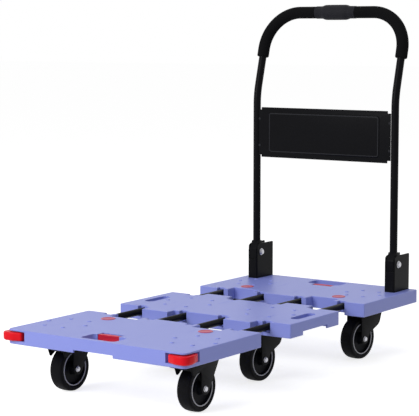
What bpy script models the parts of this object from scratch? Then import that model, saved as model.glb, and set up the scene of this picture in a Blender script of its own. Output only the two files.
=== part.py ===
"""Telescoping platform trolley: three plastic decks on four slide tubes, six casters and a folding handle.

Metres, +Z up, floor at Z = 0. +Y points from the front deck to the handle, and X runs across.
Each deck, caster, latch and handle is modelled round its own joint or seat, then placed by an empty.
"""

import math

import bmesh
import bpy
import numpy as np
from mathutils import Matrix, Vector

# Decks
deck_width = 0.475
deck_thickness = 0.032
mid_deck_length = 0.208
front_deck_length = 0.2765
rear_deck_length = 0.264
deck_travel = 0.114
closed_gap = 0.001
skin = 0.004
skirt_wall = 0.004
rib_wall = 0.003
rib_setback = 0.004
rib_draft = 0.0012
edge_chamfer = 0.0012

# Tongues on the middle deck and the pockets that take them
tongue_side_room = 0.014
tongue_length = 0.028
tongue_clearance = 0.0015

# Slide tubes
tube_radius = 0.008
tube_wall = 0.0015
inner_tube_x = 0.054
outer_tube_inset = 0.0635
tube_engaged = 0.078
tube_under_skin = 0.0005
tube_fit = 0.0003
slide_fit = 0.0004
tunnel_wall = 0.0041
tunnel_end_room = 0.003
mouth_width = 0.020
mouth_depth = 0.012

# Hand holes in the sides of the middle deck
side_hole_length = 0.086
side_hole_width = 0.024
side_hole_inset = 0.0325
side_relief_length = 0.104
side_relief_height = 0.009

# Hand slots in the outer ends of the end decks
slot_length = 0.092
slot_width = 0.049
slot_corner = 0.010
grip_bar = 0.013
end_relief_length = 0.106
end_relief_height = 0.0065

# Corners and bumpers of the front deck
corner_radius = 0.012
sharp_corner = 0.003
bumper_height = 0.0185
bumper_above_skirt = 0.008
bumper_depth = 0.009
bumper_stand_out = 0.010
bumper_end_stand_out = 0.002
bumper_corner = 0.015
bumper_taper_round = 0.030
bumper_run = 0.042
bumper_taper_share = 0.45
bumper_roundness = 0.003
bumper_room = 0.0075
bumper_headroom = 0.0022
bumper_wall = 0.003

# Round plugs in the end decks
plug_radius = 0.0135
plug_depth = 0.0026
plug_stem_radius = 0.005
plug_stem_length = 0.009
plug_side_inset = 0.1045
plug_inset = 0.059

# Latch in each hand slot
latch_width = 0.058
latch_centre = 0.008
latch_depth = 0.012
latch_height = 0.0215
latch_below_top = 0.0005
latch_travel = 0.008
latch_dish_depth = 0.003
latch_arm_width = 0.014
latch_arm_thickness = 0.006
latch_arm_below_top = 0.015
spring_offset = 0.0175
spring_radius = 0.0035
spring_wire = 0.0006
spring_length = 0.019
spring_turns = 6
spring_steps = 8

# Lock bar under the inner tubes
lock_bar_radius = 0.0035
lock_bar_inset = 0.060
lock_bar_overhang = 0.012
lock_bar_drop = 0.004
lock_notch_depth = 0.0032
cam_wall = 0.002
cam_roundness_share = 0.95

# Casters
wheel_radius = 0.050
tread_width = 0.020
wheel_width = 0.032
shoulder_drop = 0.0035
rim_radius = 0.038
rim_width = 0.029
rim_lip = 0.0032
web_width = 0.016
boss_radius = 0.011
axle_radius = 0.004
axle_head_radius = 0.0065
axle_head_height = 0.0042
head_flat_share = 0.667
caster_trail = 0.038
wheel_side_room = 0.0035
wheel_top_room = 0.0107
fork_wall = 0.003
fork_foot = 0.0125
fork_rear_top = 0.032
fork_rear_knee = -0.003
fork_rear_knee_height = 0.063
fork_web_depth = 0.006
fixed_fork_reach = 0.057
fixed_fork_knee = 0.027
fixed_fork_knee_height = 0.063
fixed_fork_web_bottom = 0.090
race_radius = 0.023
race_height = 0.0052
kingpin_radius = 0.006
kingpin_head_radius = 0.0095
kingpin_head_height = 0.004
plate_thickness = 0.003
plate_width = 0.060
plate_length = 0.080
plate_corner = 0.006
plate_bolt_pitch = 0.060
fixed_caster_side_inset = 0.0655
rear_caster_side_inset = 0.0615
fixed_caster_inset = 0.147
swivel_caster_inset = 0.121
shortest_cell = 0.010
mid_kingpin_inset = 0.001
mid_caster_y = -0.006

# Handle brackets and pivots
bracket_side_inset = 0.036
bracket_width = 0.028
bracket_depth = 0.076
bracket_height = 0.090
bracket_wall = 0.0025
bracket_web_height = 0.050
bracket_floor = 0.003
bracket_rear_inset = 0.003
bracket_front_round = 0.016
bracket_rear_round = 0.002
pivot_height = 0.0675
pivot_from_web = 0.0205
pivot_radius = 0.005
pivot_head_radius = 0.009
pivot_head_height = 0.0055

# Handle
post_radius = 0.0095
lug_below_pivot = 0.033
lug_above_pivot = 0.020
lug_rear = 0.011
lug_corner = 0.005
bend_height = 0.382
bend_radius = 0.200
bend_angle = math.radians(15)
handle_rise = 0.617
handle_corner = 0.095
sleeve_radius = 0.015
sleeve_start = 0.508
grip_length = 0.116
grip_end_radius = 0.0155
grip_swell_radius = 0.0195
grip_swell_length = 0.070
grip_neck_share = 0.667

# Panel between the handle posts
panel_post_gap = 0.008
panel_height = 0.128
panel_sheet = 0.0015
panel_bottom = 0.248
panel_forward = 0.005
panel_border = 0.014
panel_side_border = 0.025
emboss_slope = 0.005
emboss_height = 0.0025
panel_tab_height = 0.012
panel_tab_inset = 0.019

# Seats and cutters
seat_gap = 0.0003
overrun = 0.010
weld_distance = 0.00001
cap_slope = 0.999

# Facets round turned pieces and along arcs
wheel_facets = 22
hub_facets = 16
tube_facets = 12
small_facets = 10
bolt_facets = 8
arc_steps = 4

# Worked out from the sizes above, from the floor up
crown_bottom = 2 * wheel_radius + wheel_top_room
crown_top = crown_bottom + fork_wall
plate_bottom = crown_top + seat_gap + race_height
plate_top = plate_bottom + plate_thickness
rib_bottom = plate_top + seat_gap
skirt_bottom = rib_bottom - rib_setback
deck_top = skirt_bottom + deck_thickness
skin_bottom = deck_top - skin
tube_z = skin_bottom - tube_under_skin - tube_radius
half_width = deck_width / 2
outer_tube_x = half_width - outer_tube_inset
side_hole_x = half_width - side_hole_inset
plug_x = half_width - plug_side_inset
fixed_caster_x = half_width - fixed_caster_side_inset
rear_caster_x = half_width - rear_caster_side_inset
bracket_x = half_width - bracket_side_inset
panel_width = 2 * (bracket_x - post_radius - panel_post_gap)
mid_half = mid_deck_length / 2
end_inner = mid_half + closed_gap + deck_travel
tube_half_length = end_inner + tube_engaged
bore_radius = tube_radius + slide_fit
block_half = bore_radius + tunnel_wall
tongue_x = (inner_tube_x + outer_tube_x) / 2
tongue_width = outer_tube_x - inner_tube_x - mouth_width - 2 * tongue_side_room
mid_caster_x = tongue_x - mid_kingpin_inset
lock_bar_z = tube_z - tube_radius - seat_gap - lock_bar_radius
fork_half = wheel_width / 2 + wheel_side_room + fork_wall
bracket_front = end_inner + rear_deck_length - bracket_rear_inset - bracket_depth
pivot_y = bracket_front + pivot_from_web
pivot_z = deck_top + seat_gap + pivot_height
handle_lean = bend_radius * (1 - math.cos(bend_angle))
handle_slope_start = bend_height + bend_radius * math.sin(bend_angle)
handle_back = handle_lean + (handle_rise - handle_slope_start) * math.tan(bend_angle)
rear_reach = pivot_y + handle_back + grip_swell_radius
front_reach = end_inner + front_deck_length + bumper_stand_out
origin_shift = (front_reach - rear_reach) / 2

# Casters: name, deck, place across, place along from the deck's own origin, and how far it stands turned
caster_places = (
    ("front_left", "front", -fixed_caster_x, -fixed_caster_inset, 0),
    ("front_right", "front", fixed_caster_x, -fixed_caster_inset, 0),
    ("mid_left", "mid", -mid_caster_x, mid_caster_y, 0),
    ("mid_right", "mid", mid_caster_x, mid_caster_y, -3),
    ("rear_left", "rear", -rear_caster_x, swivel_caster_inset, 0),
    ("rear_right", "rear", rear_caster_x, swivel_caster_inset, -6),
)


def clear_scene():
    """Takes every object out of the open file."""
    for old in list(bpy.data.objects):
        bpy.data.objects.remove(old, do_unlink=True)


def collection(name):
    """A new collection under the scene's own."""
    made = bpy.data.collections.new(name)
    bpy.context.scene.collection.children.link(made)
    return made


clear_scene()
parts = collection("platform_trolley")
cutters = collection("cutters")


def material(name, colour, roughness, metallic=0.0):
    """A plain Principled material."""
    made = bpy.data.materials.new(name)
    made.use_nodes = True
    shader = made.node_tree.nodes["Principled BSDF"]
    shader.inputs["Base Color"].default_value = (*colour, 1.0)
    shader.inputs["Roughness"].default_value = roughness
    shader.inputs["Metallic"].default_value = metallic
    made.diffuse_color = (*colour, 1.0)
    return made


deck_plastic = material("deck_plastic", (0.34, 0.37, 0.73), 0.45)
red_plastic = material("red_plastic", (0.76, 0.02, 0.03), 0.35)
black_steel = material("black_steel", (0.012, 0.012, 0.014), 0.4, 0.3)
black_plastic = material("black_plastic", (0.011, 0.011, 0.013), 0.5)
tyre_rubber = material("tyre_rubber", (0.009, 0.009, 0.010), 0.75)
foam_rubber = material("foam_rubber", (0.010, 0.010, 0.011), 0.9)
bright_steel = material("bright_steel", (0.55, 0.55, 0.56), 0.3, 1.0)


def rounded(corners, steps=arc_steps):
    """Outline through corners (x, y, radius), each radius above zero drawn as an arc between its sides."""
    points = []
    for i, (x, y, radius) in enumerate(corners):
        corner = Vector((x, y))
        if radius == 0:
            points.append(corner)
            continue
        to_last = (Vector(corners[i - 1][:2]) - corner).normalized()
        to_next = (Vector(corners[(i + 1) % len(corners)][:2]) - corner).normalized()
        half = to_last.angle(to_next) / 2
        middle = corner + (to_last + to_next).normalized() * (radius / math.sin(half))
        first = corner + to_last * (radius / math.tan(half)) - middle
        last = corner + to_next * (radius / math.tan(half)) - middle
        turn = first.angle_signed(last)
        for step in range(steps + 1):
            spoke = first.copy()
            spoke.rotate(Matrix.Rotation(-turn * step / steps, 2))
            points.append(middle + spoke)
    return points


def mesh_of(obj, name):
    """The evaluated mesh of an object, welded, in world space. The object is removed."""
    bpy.context.view_layer.update()
    graph = bpy.context.evaluated_depsgraph_get()
    mesh = bpy.data.meshes.new_from_object(obj.evaluated_get(graph))
    mesh.transform(obj.matrix_world)
    mesh.name = name
    bpy.data.objects.remove(obj, do_unlink=True)
    work = bmesh.new()
    work.from_mesh(mesh)
    bmesh.ops.remove_doubles(work, verts=work.verts, dist=weld_distance)
    bmesh.ops.recalc_face_normals(work, faces=work.faces)
    work.to_mesh(mesh)
    work.free()
    return mesh


def loose(name, data):
    """An unplaced object in the scene's own collection, for shapes on the way to a mesh."""
    made = bpy.data.objects.new(name, data)
    bpy.context.scene.collection.objects.link(made)
    return made


def recapped(mesh):
    """The same mesh with each flat cap as one face, so that no sliver lies along a straight run of points."""
    work = bmesh.new()
    work.from_mesh(mesh)
    work.normal_update()
    caps = [face for face in work.faces if abs(face.normal.z) > cap_slope]
    bmesh.ops.delete(work, geom=caps, context="FACES")
    bmesh.ops.holes_fill(work, edges=work.edges, sides=0)
    bmesh.ops.recalc_face_normals(work, faces=work.faces)
    work.to_mesh(mesh)
    work.free()
    return mesh


def slab(outline, thickness, chamfer=0.0, chamfer_steps=0):
    """Mesh of a flat outline in XY, thick in Z about Z = 0, its rims cut back by the chamfer."""
    curve = bpy.data.curves.new("outline", "CURVE")
    curve.dimensions = "2D"
    curve.fill_mode = "BOTH"
    curve.extrude = thickness / 2 - chamfer
    curve.bevel_depth = chamfer
    curve.bevel_resolution = chamfer_steps
    curve.offset = -chamfer
    line = curve.splines.new("POLY")
    line.points.add(len(outline) - 1)
    for point, (x, y) in zip(line.points, outline):
        point.co = (x, y, 0, 1)
    line.use_cyclic_u = True
    return recapped(mesh_of(loose("outline", curve), "slab"))


def side_slab(outline, width):
    """Mesh of an outline given in (Y, Z), wide in X about X = 0."""
    mesh = slab(outline, width)
    mesh.transform(Matrix(((0, 0, 1, 0), (1, 0, 0, 0), (0, 1, 0, 0), (0, 0, 0, 1))))
    return mesh


def box(low, high, top_inset=0.0):
    """Mesh of a box between two corners, its top drawn in all round by the inset."""
    low = Vector(low)
    high = Vector(high)
    work = bmesh.new()
    bmesh.ops.create_cube(work, size=1)
    size = high - low
    for vert in work.verts:
        vert.co = Vector(a * b for a, b in zip(vert.co, size)) + (low + high) / 2
        if vert.co.z > (low.z + high.z) / 2:
            vert.co.x -= math.copysign(top_inset, vert.co.x - (low.x + high.x) / 2)
            vert.co.y -= math.copysign(top_inset, vert.co.y - (low.y + high.y) / 2)
    mesh = bpy.data.meshes.new("box")
    work.to_mesh(mesh)
    work.free()
    return mesh


def rod(radius, start, end, facets=small_facets):
    """Mesh of a round bar between two points."""
    start = Vector(start)
    end = Vector(end)
    work = bmesh.new()
    bmesh.ops.create_cone(
        work, cap_ends=True, segments=facets, radius1=radius, radius2=radius, depth=(end - start).length
    )
    mesh = bpy.data.meshes.new("rod")
    work.to_mesh(mesh)
    work.free()
    turn = (end - start).to_track_quat("Z", "Y").to_matrix().to_4x4()
    mesh.transform(Matrix.Translation((start + end) / 2) @ turn)
    return mesh


def turned(profile, facets, closed):
    """Mesh of a profile of (radius, height) points turned about Z, its first point half a facet off +X."""
    start = math.pi / facets
    work = bmesh.new()
    verts = []
    for radius, height in profile:
        verts.append(work.verts.new((radius * math.cos(start), radius * math.sin(start), height)))
    for first, second in zip(verts, verts[1:] + verts[:1] if closed else verts[1:]):
        work.edges.new((first, second))
    mesh = bpy.data.meshes.new("profile")
    work.to_mesh(mesh)
    work.free()
    obj = loose("profile", mesh)
    screw = obj.modifiers.new("turn", "SCREW")
    screw.axis = "Z"
    screw.steps = facets
    screw.render_steps = facets
    screw.use_merge_vertices = True
    screw.merge_threshold = weld_distance
    return mesh_of(obj, "turned")


def lying(mesh):
    """The same mesh with its Z axis laid along +X."""
    mesh.transform(Matrix.Rotation(math.pi / 2, 4, "Y"))
    return mesh


def swept(points, radius, sides):
    """Mesh of a round bar along a line of points, with filled ends."""
    curve = bpy.data.curves.new("sweep", "CURVE")
    curve.dimensions = "3D"
    curve.bevel_depth = radius
    curve.bevel_resolution = sides // 2 - 2
    curve.use_fill_caps = True
    line = curve.splines.new("POLY")
    line.points.add(len(points) - 1)
    for point, place in zip(line.points, points):
        point.co = (*place, 1)
    return mesh_of(loose("sweep", curve), "swept")


def joined(meshes):
    """One mesh that holds several separate ones."""
    work = bmesh.new()
    for mesh in meshes:
        work.from_mesh(mesh)
    whole = bpy.data.meshes.new("joined")
    work.to_mesh(whole)
    work.free()
    return whole


def mirrored(meshes):
    """The meshes and their copies across X = 0."""
    both = list(meshes)
    for mesh in meshes:
        copy = mesh.copy()
        copy.transform(Matrix.Diagonal((-1, 1, 1, 1)))
        copy.flip_normals()
        both.append(copy)
    return both


def boolean(obj, mesh, operation):
    """Adds a Boolean with a hidden helper that follows the object's parent."""
    helper = bpy.data.objects.new(obj.name + "_" + operation.lower(), mesh)
    helper.hide_render = True
    helper.display_type = "WIRE"
    helper.parent = obj.parent
    helper.location = obj.location
    helper.rotation_euler = obj.rotation_euler
    cutters.objects.link(helper)
    step = obj.modifiers.new(operation.lower(), "BOOLEAN")
    step.operation = operation
    step.solver = "EXACT"
    step.object = helper


def carve(mesh, removed=(), added=()):
    """Mesh after unions with the added meshes and then cuts by the removed ones."""
    obj = loose("carved", mesh)
    helpers = []
    for operation, tools in (("UNION", added), ("DIFFERENCE", removed)):
        for tool in tools:
            helper = loose("tool", tool)
            helpers.append(helper)
            step = obj.modifiers.new("step", "BOOLEAN")
            step.operation = operation
            step.solver = "EXACT"
            step.object = helper
    done = mesh_of(obj, "carved")
    for helper in helpers:
        bpy.data.objects.remove(helper, do_unlink=True)
    return done


def empty(name, location, parent=None, turn=0.0):
    """A frame that pieces are placed by."""
    made = bpy.data.objects.new(name, None)
    made.location = location
    made.rotation_euler = (0, 0, turn)
    made.parent = parent
    parts.objects.link(made)
    return made


def part(name, mesh, finish, parent, location=(0, 0, 0), rotation=(0, 0, 0), smooth=True):
    """A named sub-part with its material, placed under an empty."""
    made = bpy.data.objects.new(name, mesh)
    mesh.materials.clear()
    mesh.materials.append(finish)
    made.parent = parent
    made.location = location
    made.rotation_euler = rotation
    parts.objects.link(made)
    if smooth:
        mesh.shade_smooth()
        mesh.set_sharp_from_angle(angle=math.radians(35))
    return made


trolley = empty("trolley", (0, origin_shift, 0))
mid = empty("mid", (0, 0, 0), trolley)
rear = empty("rear", (0, end_inner, 0), trolley)
front = empty("front", (0, -end_inner, 0), trolley, math.pi)


def stepped_edge(steps, y, inward, ends):
    """Corner list along a deck edge at y from left to right, stepping in by each (centre, width, depth)."""
    corners = [(-ends[0], y, ends[1])]
    for centre, width, depth in sorted(steps):
        corners.append((centre - width / 2, y, 0))
        corners.append((centre - width / 2, y + inward * depth, 0))
        corners.append((centre + width / 2, y + inward * depth, 0))
        corners.append((centre + width / 2, y, 0))
    corners.append((ends[0], y, ends[1]))
    return corners


def mouths():
    """Steps of the four open tube mouths in a joining edge."""
    return [(side * x, mouth_width, mouth_depth) for side in (-1, 1) for x in (inner_tube_x, outer_tube_x)]


def deck_body(outline):
    """Solid deck moulding between skirt and top, its rims chamfered."""
    mesh = slab(outline, deck_thickness, edge_chamfer)
    mesh.transform(Matrix.Translation((0, 0, skirt_bottom + deck_thickness / 2)))
    return mesh


def cell(left, right, near, far):
    """Cutter for one hollow between ribs, open below and drawn in towards the skin."""
    return box((left, near, skirt_bottom - overrun), (right, far, skin_bottom), rib_draft)


def cells(columns, rows):
    """Cutters for every hollow in the columns and rows, with half a rib of wall kept on each inner side."""
    return [cell(left, right, near, far) for left, right in columns for near, far in rows]


def spans(lines, low, high):
    """Gaps between ribs at the lines, from low to high."""
    edges = [low - rib_wall / 2, *lines, high + rib_wall / 2]
    return [(a + rib_wall / 2, b - rib_wall / 2) for a, b in zip(edges, edges[1:])]


def bores(near, far, clearance):
    """Cutters for the four tube tunnels of a deck."""
    radius = tube_radius + clearance
    places = (-outer_tube_x, -inner_tube_x, inner_tube_x, outer_tube_x)
    return [rod(radius, (x, near, tube_z), (x, far, tube_z), tube_facets) for x in places]


def mid_deck():
    """Middle deck: tongues on both joining edges, a hand hole in each side, ribs and tunnels below."""
    ends = (half_width, sharp_corner)
    lower = stepped_edge(mouths(), -mid_half, 1, ends)
    upper = stepped_edge(mouths(), mid_half, -1, ends)
    body = part("mid_deck", deck_body(rounded(lower + upper[::-1], 2)), deck_plastic, mid, smooth=False)
    for end in (-1, 1):
        root = end * (mid_half - tongue_length)
        tip = end * (mid_half + tongue_length)
        left = tongue_x - tongue_width / 2
        right = tongue_x + tongue_width / 2
        near, far = sorted((root, tip))
        tongue = deck_body([(left, near), (right, near), (right, far), (left, far)])
        boolean(body, joined(mirrored([tongue])), "UNION")
    reach = mid_half - skirt_wall
    inside = half_width - skirt_wall
    recess = box((-inside, -reach, skirt_bottom - overrun), (inside, reach, rib_bottom))
    boolean(body, recess, "DIFFERENCE")
    plate_lines = (mid_caster_y - plate_bolt_pitch / 2, mid_caster_y + plate_bolt_pitch / 2)
    rows = spans(plate_lines, -reach, reach)
    hollows = cells(spans((mid_caster_x,), inner_tube_x + block_half, outer_tube_x - block_half), rows)
    side_span = (outer_tube_x + block_half, inside)
    relief = side_relief_length / 2
    hollows += cells([side_span], [(-reach, -relief), (relief, reach)])
    half_tongue = tongue_width / 2 - skirt_wall
    tongue_rows = [
        (-mid_half - tongue_length + skirt_wall, -reach - rib_wall),
        (reach + rib_wall, mid_half + tongue_length - skirt_wall),
    ]
    hollows += cells([(tongue_x - half_tongue, tongue_x + half_tongue)], tongue_rows)
    centre = cells(spans((0,), block_half - inner_tube_x, inner_tube_x - block_half), rows)
    boolean(body, joined(mirrored(hollows) + centre), "DIFFERENCE")
    holes = []
    for side in (-1, 1):
        x = side * side_hole_x
        bend = side_hole_width / 2
        hole = slab(rounded([
            (x - bend, -side_hole_length / 2, bend), (x + bend, -side_hole_length / 2, bend),
            (x + bend, side_hole_length / 2, bend), (x - bend, side_hole_length / 2, bend),
        ], 3), deck_thickness + 2 * overrun)
        hole.transform(Matrix.Translation((0, 0, deck_top - deck_thickness / 2)))
        holes.append(hole)
        inner = outer_tube_x + block_half
        low = (inner if side > 0 else -half_width - overrun, -relief, skirt_bottom - overrun)
        high = (half_width + overrun if side > 0 else -inner, relief, skirt_bottom + side_relief_height)
        boolean(body, box(low, high), "DIFFERENCE")
    boolean(body, joined(holes), "DIFFERENCE")
    boolean(body, joined(bores(-mid_half - overrun, mid_half + overrun, tube_fit)), "DIFFERENCE")


def slot_start(length):
    """Where the hand slot begins in an end deck of this length."""
    return length - grip_bar - slot_width


def pocket_start(length):
    """Back wall of the latch's seat, one full press behind the latch."""
    return slot_start(length) - latch_depth - latch_travel - seat_gap


def spring_start(length):
    """Bottom of the hole that the latch's spring sits in."""
    return slot_start(length) - latch_depth - spring_length


def bumper_outline():
    """Outline of a band round a front deck corner, tapering back towards the faces at its two ends."""
    side = half_width - bumper_depth + seat_gap
    end = front_deck_length - bumper_depth + seat_gap
    last = front_deck_length - bumper_run
    taper = bumper_run * bumper_taper_share
    return rounded([
        (side, last, 0), (half_width + bumper_end_stand_out, last, 0),
        (half_width + bumper_stand_out, front_deck_length - taper, bumper_taper_round),
        (half_width + bumper_stand_out, front_deck_length + bumper_stand_out, bumper_corner),
        (half_width - taper, front_deck_length + bumper_stand_out, bumper_taper_round),
        (half_width - bumper_run, front_deck_length + bumper_end_stand_out, 0),
        (half_width - bumper_run, end, 0), (side, end, corner_radius - bumper_depth + seat_gap),
    ], 3)


def bumper(side):
    """Soft red corner bumper, seated in its pocket in the deck corner."""
    mesh = slab(bumper_outline(), bumper_height, bumper_roundness, 1)
    mesh.transform(Matrix.Translation((0, 0, skirt_bottom + bumper_above_skirt + bumper_height / 2)))
    if side > 0:
        mesh.transform(Matrix.Diagonal((-1, 1, 1, 1)))
        mesh.flip_normals()
    name = "corner_bumper_right" if side > 0 else "corner_bumper_left"
    part(name, mesh, red_plastic, front)


def bumper_pockets():
    """Cutters for the two bumper pockets, a little longer and higher than the bumpers."""
    height = bumper_height + bumper_headroom + seat_gap
    reach = bumper_stand_out + overrun
    side = half_width - bumper_depth
    end = front_deck_length - bumper_depth
    run = bumper_run + bumper_room
    mesh = slab(rounded([
        (side, front_deck_length - run, 0), (half_width + reach, front_deck_length - run, 0),
        (half_width + reach, front_deck_length + reach, 0), (half_width - run, front_deck_length + reach, 0),
        (half_width - run, end, 0), (side, end, corner_radius - bumper_depth),
    ]), height)
    mesh.transform(Matrix.Translation((0, 0, skirt_bottom + bumper_above_skirt - seat_gap + height / 2)))
    return mirrored([mesh])


def latch_pocket(length):
    """Cutters for the latch's seat, its arm's channel and its spring's hole, in an end deck's own frame."""
    slot_inner = slot_start(length)
    pocket_back = pocket_start(length)
    half = latch_width / 2 + seat_gap
    floor = deck_top - latch_below_top - latch_height - seat_gap
    seat = box(
        (latch_centre - half, pocket_back, floor),
        (latch_centre + half, slot_inner + overrun, deck_top + overrun),
    )
    arm_half = latch_arm_width / 2 + rib_wall / 2
    channel = box(
        (latch_centre - arm_half, skirt_wall, skirt_bottom - overrun),
        (latch_centre + arm_half, pocket_back + overrun, deck_top - latch_arm_below_top + rib_wall / 2),
    )
    hole = rod(
        spring_radius + spring_wire + slide_fit,
        (latch_centre + spring_offset, spring_start(length), tube_z),
        (latch_centre + spring_offset, slot_inner, tube_z),
    )
    return [seat, channel, hole]


def end_deck(name, frame, length, outer_corner, caster_inset):
    """End deck from its joining edge at y = 0 to its outer end, with slot, latch seat and tube tunnels."""
    slot_inner = slot_start(length)
    pocket_back = pocket_start(length)
    pocket_width = tongue_width + 2 * tongue_clearance
    pockets = [(side * tongue_x, pocket_width, tongue_length + tongue_clearance) for side in (-1, 1)]
    inner_edge = stepped_edge(mouths() + pockets, 0, 1, (half_width, sharp_corner))
    outer_edge = [(half_width, length, outer_corner), (-half_width, length, outer_corner)]
    body = part(name, deck_body(rounded(inner_edge + outer_edge)), deck_plastic, frame, smooth=False)
    wall = bumper_depth + bumper_wall
    inside = half_width - skirt_wall
    round_inside = max(outer_corner - skirt_wall, 0)
    recess = slab(rounded([
        (-inside, skirt_wall, 0), (inside, skirt_wall, 0),
        (inside, length - skirt_wall, round_inside), (-inside, length - skirt_wall, round_inside),
    ]), 2 * overrun)
    recess.transform(Matrix.Translation((0, 0, rib_bottom - overrun)))
    boolean(body, recess, "DIFFERENCE")
    lines = [caster_inset - plate_bolt_pitch / 2, caster_inset + plate_bolt_pitch / 2]
    last_line = lines[-1]
    if pocket_back - last_line > shortest_cell:
        last_line = pocket_back
    behind_pocket = tongue_length + tongue_clearance + skirt_wall
    far = length - wall
    middle = [(inner_tube_x + block_half, outer_tube_x - block_half)]
    hollows = cells(middle, spans(sorted({*lines, last_line}), behind_pocket, far))
    side = [(outer_tube_x + block_half, half_width - skirt_wall)]
    side_lines = [line for line in lines if line < last_line]
    hollows += cells(side, spans(side_lines, skirt_wall, last_line - rib_wall / 2))
    reach = (corner_radius - wall) * math.sqrt(0.5)
    corner_cell = cell(
        outer_tube_x + block_half, half_width - corner_radius + reach,
        last_line + rib_wall / 2, length - corner_radius + reach,
    )
    centre = [(block_half - inner_tube_x, inner_tube_x - block_half)]
    centre_cells = cells(centre, spans(lines[:1], skirt_wall, spring_start(length) - rib_wall))
    boolean(body, joined(mirrored([*hollows, corner_cell]) + centre_cells), "DIFFERENCE")
    slot_half = slot_length / 2
    slot = slab(rounded([
        (-slot_half, slot_inner, slot_corner), (slot_half, slot_inner, slot_corner),
        (slot_half, slot_inner + slot_width, slot_corner), (-slot_half, slot_inner + slot_width, slot_corner),
    ], 3), deck_thickness + 2 * overrun)
    slot.transform(Matrix.Translation((0, 0, deck_top - deck_thickness / 2)))
    boolean(body, slot, "DIFFERENCE")
    for tool in latch_pocket(length):
        boolean(body, tool, "DIFFERENCE")
    relief = box(
        (-end_relief_length / 2, slot_inner + slot_width / 2, skirt_bottom - overrun),
        (end_relief_length / 2, length + overrun, skirt_bottom + end_relief_height),
    )
    boolean(body, relief, "DIFFERENCE")
    tunnel_end = tube_engaged + deck_travel + tunnel_end_room
    boolean(body, joined(bores(-overrun, tunnel_end, slide_fit)), "DIFFERENCE")
    half_bar = inner_tube_x + lock_bar_overhang + seat_gap
    guide = box(
        (-half_bar, lock_bar_inset - lock_bar_radius - slide_fit, skirt_bottom - overrun),
        (half_bar, lock_bar_inset + lock_bar_radius + slide_fit, tube_z),
    )
    boolean(body, guide, "DIFFERENCE")
    boolean(body, joined(mirrored(plug_seat())), "DIFFERENCE")
    if length == front_deck_length:
        boolean(body, joined(bumper_pockets()), "DIFFERENCE")


def plug_seat():
    """Cutter for a plug's recess and the hole for its stem."""
    recess = [
        (0, deck_top + overrun), (plug_radius + seat_gap, deck_top + overrun),
        (plug_radius + seat_gap, deck_top - plug_depth - seat_gap),
        (plug_stem_radius + seat_gap, deck_top - plug_depth - seat_gap),
        (plug_stem_radius + seat_gap, skin_bottom - overrun), (0, skin_bottom - overrun),
    ]
    mesh = turned(recess, small_facets + bolt_facets, False)
    mesh.transform(Matrix.Translation((plug_x, plug_inset, 0)))
    return [mesh]


def plug(name, frame, x):
    """Red plug pressed flush into the deck, on a short stem."""
    profile = [
        (0, 0), (plug_radius - edge_chamfer / 2, 0), (plug_radius, -edge_chamfer / 2),
        (plug_radius, -plug_depth), (plug_stem_radius, -plug_depth),
        (plug_stem_radius, -plug_stem_length), (0, -plug_stem_length),
    ]
    mesh = turned(profile, small_facets + bolt_facets, False)
    part(name, mesh, red_plastic, frame, (x, plug_inset, deck_top))


def slide_tubes():
    """Four steel tubes fixed in the middle deck; the inner pair has lock notches underneath."""
    profile = [
        (tube_radius, tube_half_length), (tube_radius, -tube_half_length),
        (tube_radius - tube_wall, -tube_half_length), (tube_radius - tube_wall, tube_half_length),
    ]
    names = ("outer_left", "inner_left", "inner_right", "outer_right")
    for name, x in zip(names, (-outer_tube_x, -inner_tube_x, inner_tube_x, outer_tube_x)):
        mesh = turned(profile, tube_facets, True)
        mesh.transform(Matrix.Rotation(-math.pi / 2, 4, "X"))
        if "inner" in name:
            mesh = carve(mesh, removed=[joined(lock_notches())])
        part("slide_tube_" + name, mesh, black_steel, mid, (x, 0, tube_z))


def lock_notches():
    """Cutters for the notches that the lock bar rises into, with the decks out and with them closed."""
    depth = tube_radius - lock_notch_depth + lock_bar_radius + slide_fit
    extended = end_inner + lock_bar_inset
    places = [side * y for side in (-1, 1) for y in (extended, extended - deck_travel)]
    return [
        rod(lock_bar_radius + slide_fit, (-mouth_width, y, -depth), (mouth_width, y, -depth), bolt_facets)
        for y in places
    ]


def cam_outline(half):
    """Round-ended outline, in (Y, Z), of the path that the lock bar takes through the latch's cam."""
    first = Vector((lock_bar_inset, lock_bar_z))
    last = first + Vector((latch_travel, -lock_bar_drop))
    along = (last - first).normalized() * half
    across = Vector((-along.y, along.x))
    corners = (first - along + across, first - along - across, last + along - across, last + along + across)
    return rounded([(corner.x, corner.y, half * cam_roundness_share) for corner in corners], 3)


def latch(name, frame, length):
    """Red push latch: dished face in the hand slot, and an arm whose slanted slot works the lock bar."""
    slot_inner = slot_start(length)
    block = box(
        (-latch_width / 2, slot_inner - latch_depth, deck_top - latch_below_top - latch_height),
        (latch_width / 2, slot_inner, deck_top - latch_below_top), edge_chamfer,
    )
    dish_radius = (latch_width / 2) ** 2 / (2 * latch_dish_depth)
    dish = rod(
        dish_radius, (0, slot_inner + dish_radius - latch_dish_depth, rib_bottom),
        (0, slot_inner + dish_radius - latch_dish_depth, deck_top - skin), wheel_facets * arc_steps,
    )
    arm_top = deck_top - latch_arm_below_top
    hole = lock_bar_radius + slide_fit
    end = hole + cam_wall
    arm = box(
        (-latch_arm_width / 2, lock_bar_inset - end, arm_top - latch_arm_thickness),
        (latch_arm_width / 2, slot_inner - latch_depth / 2, arm_top),
    )
    cam = side_slab(cam_outline(end), latch_arm_width)
    slot = side_slab(cam_outline(hole), 2 * latch_arm_width)
    mesh = carve(block, removed=[dish, slot], added=[arm, cam])
    part(name, mesh, red_plastic, frame, (latch_centre, 0, 0))


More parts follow.
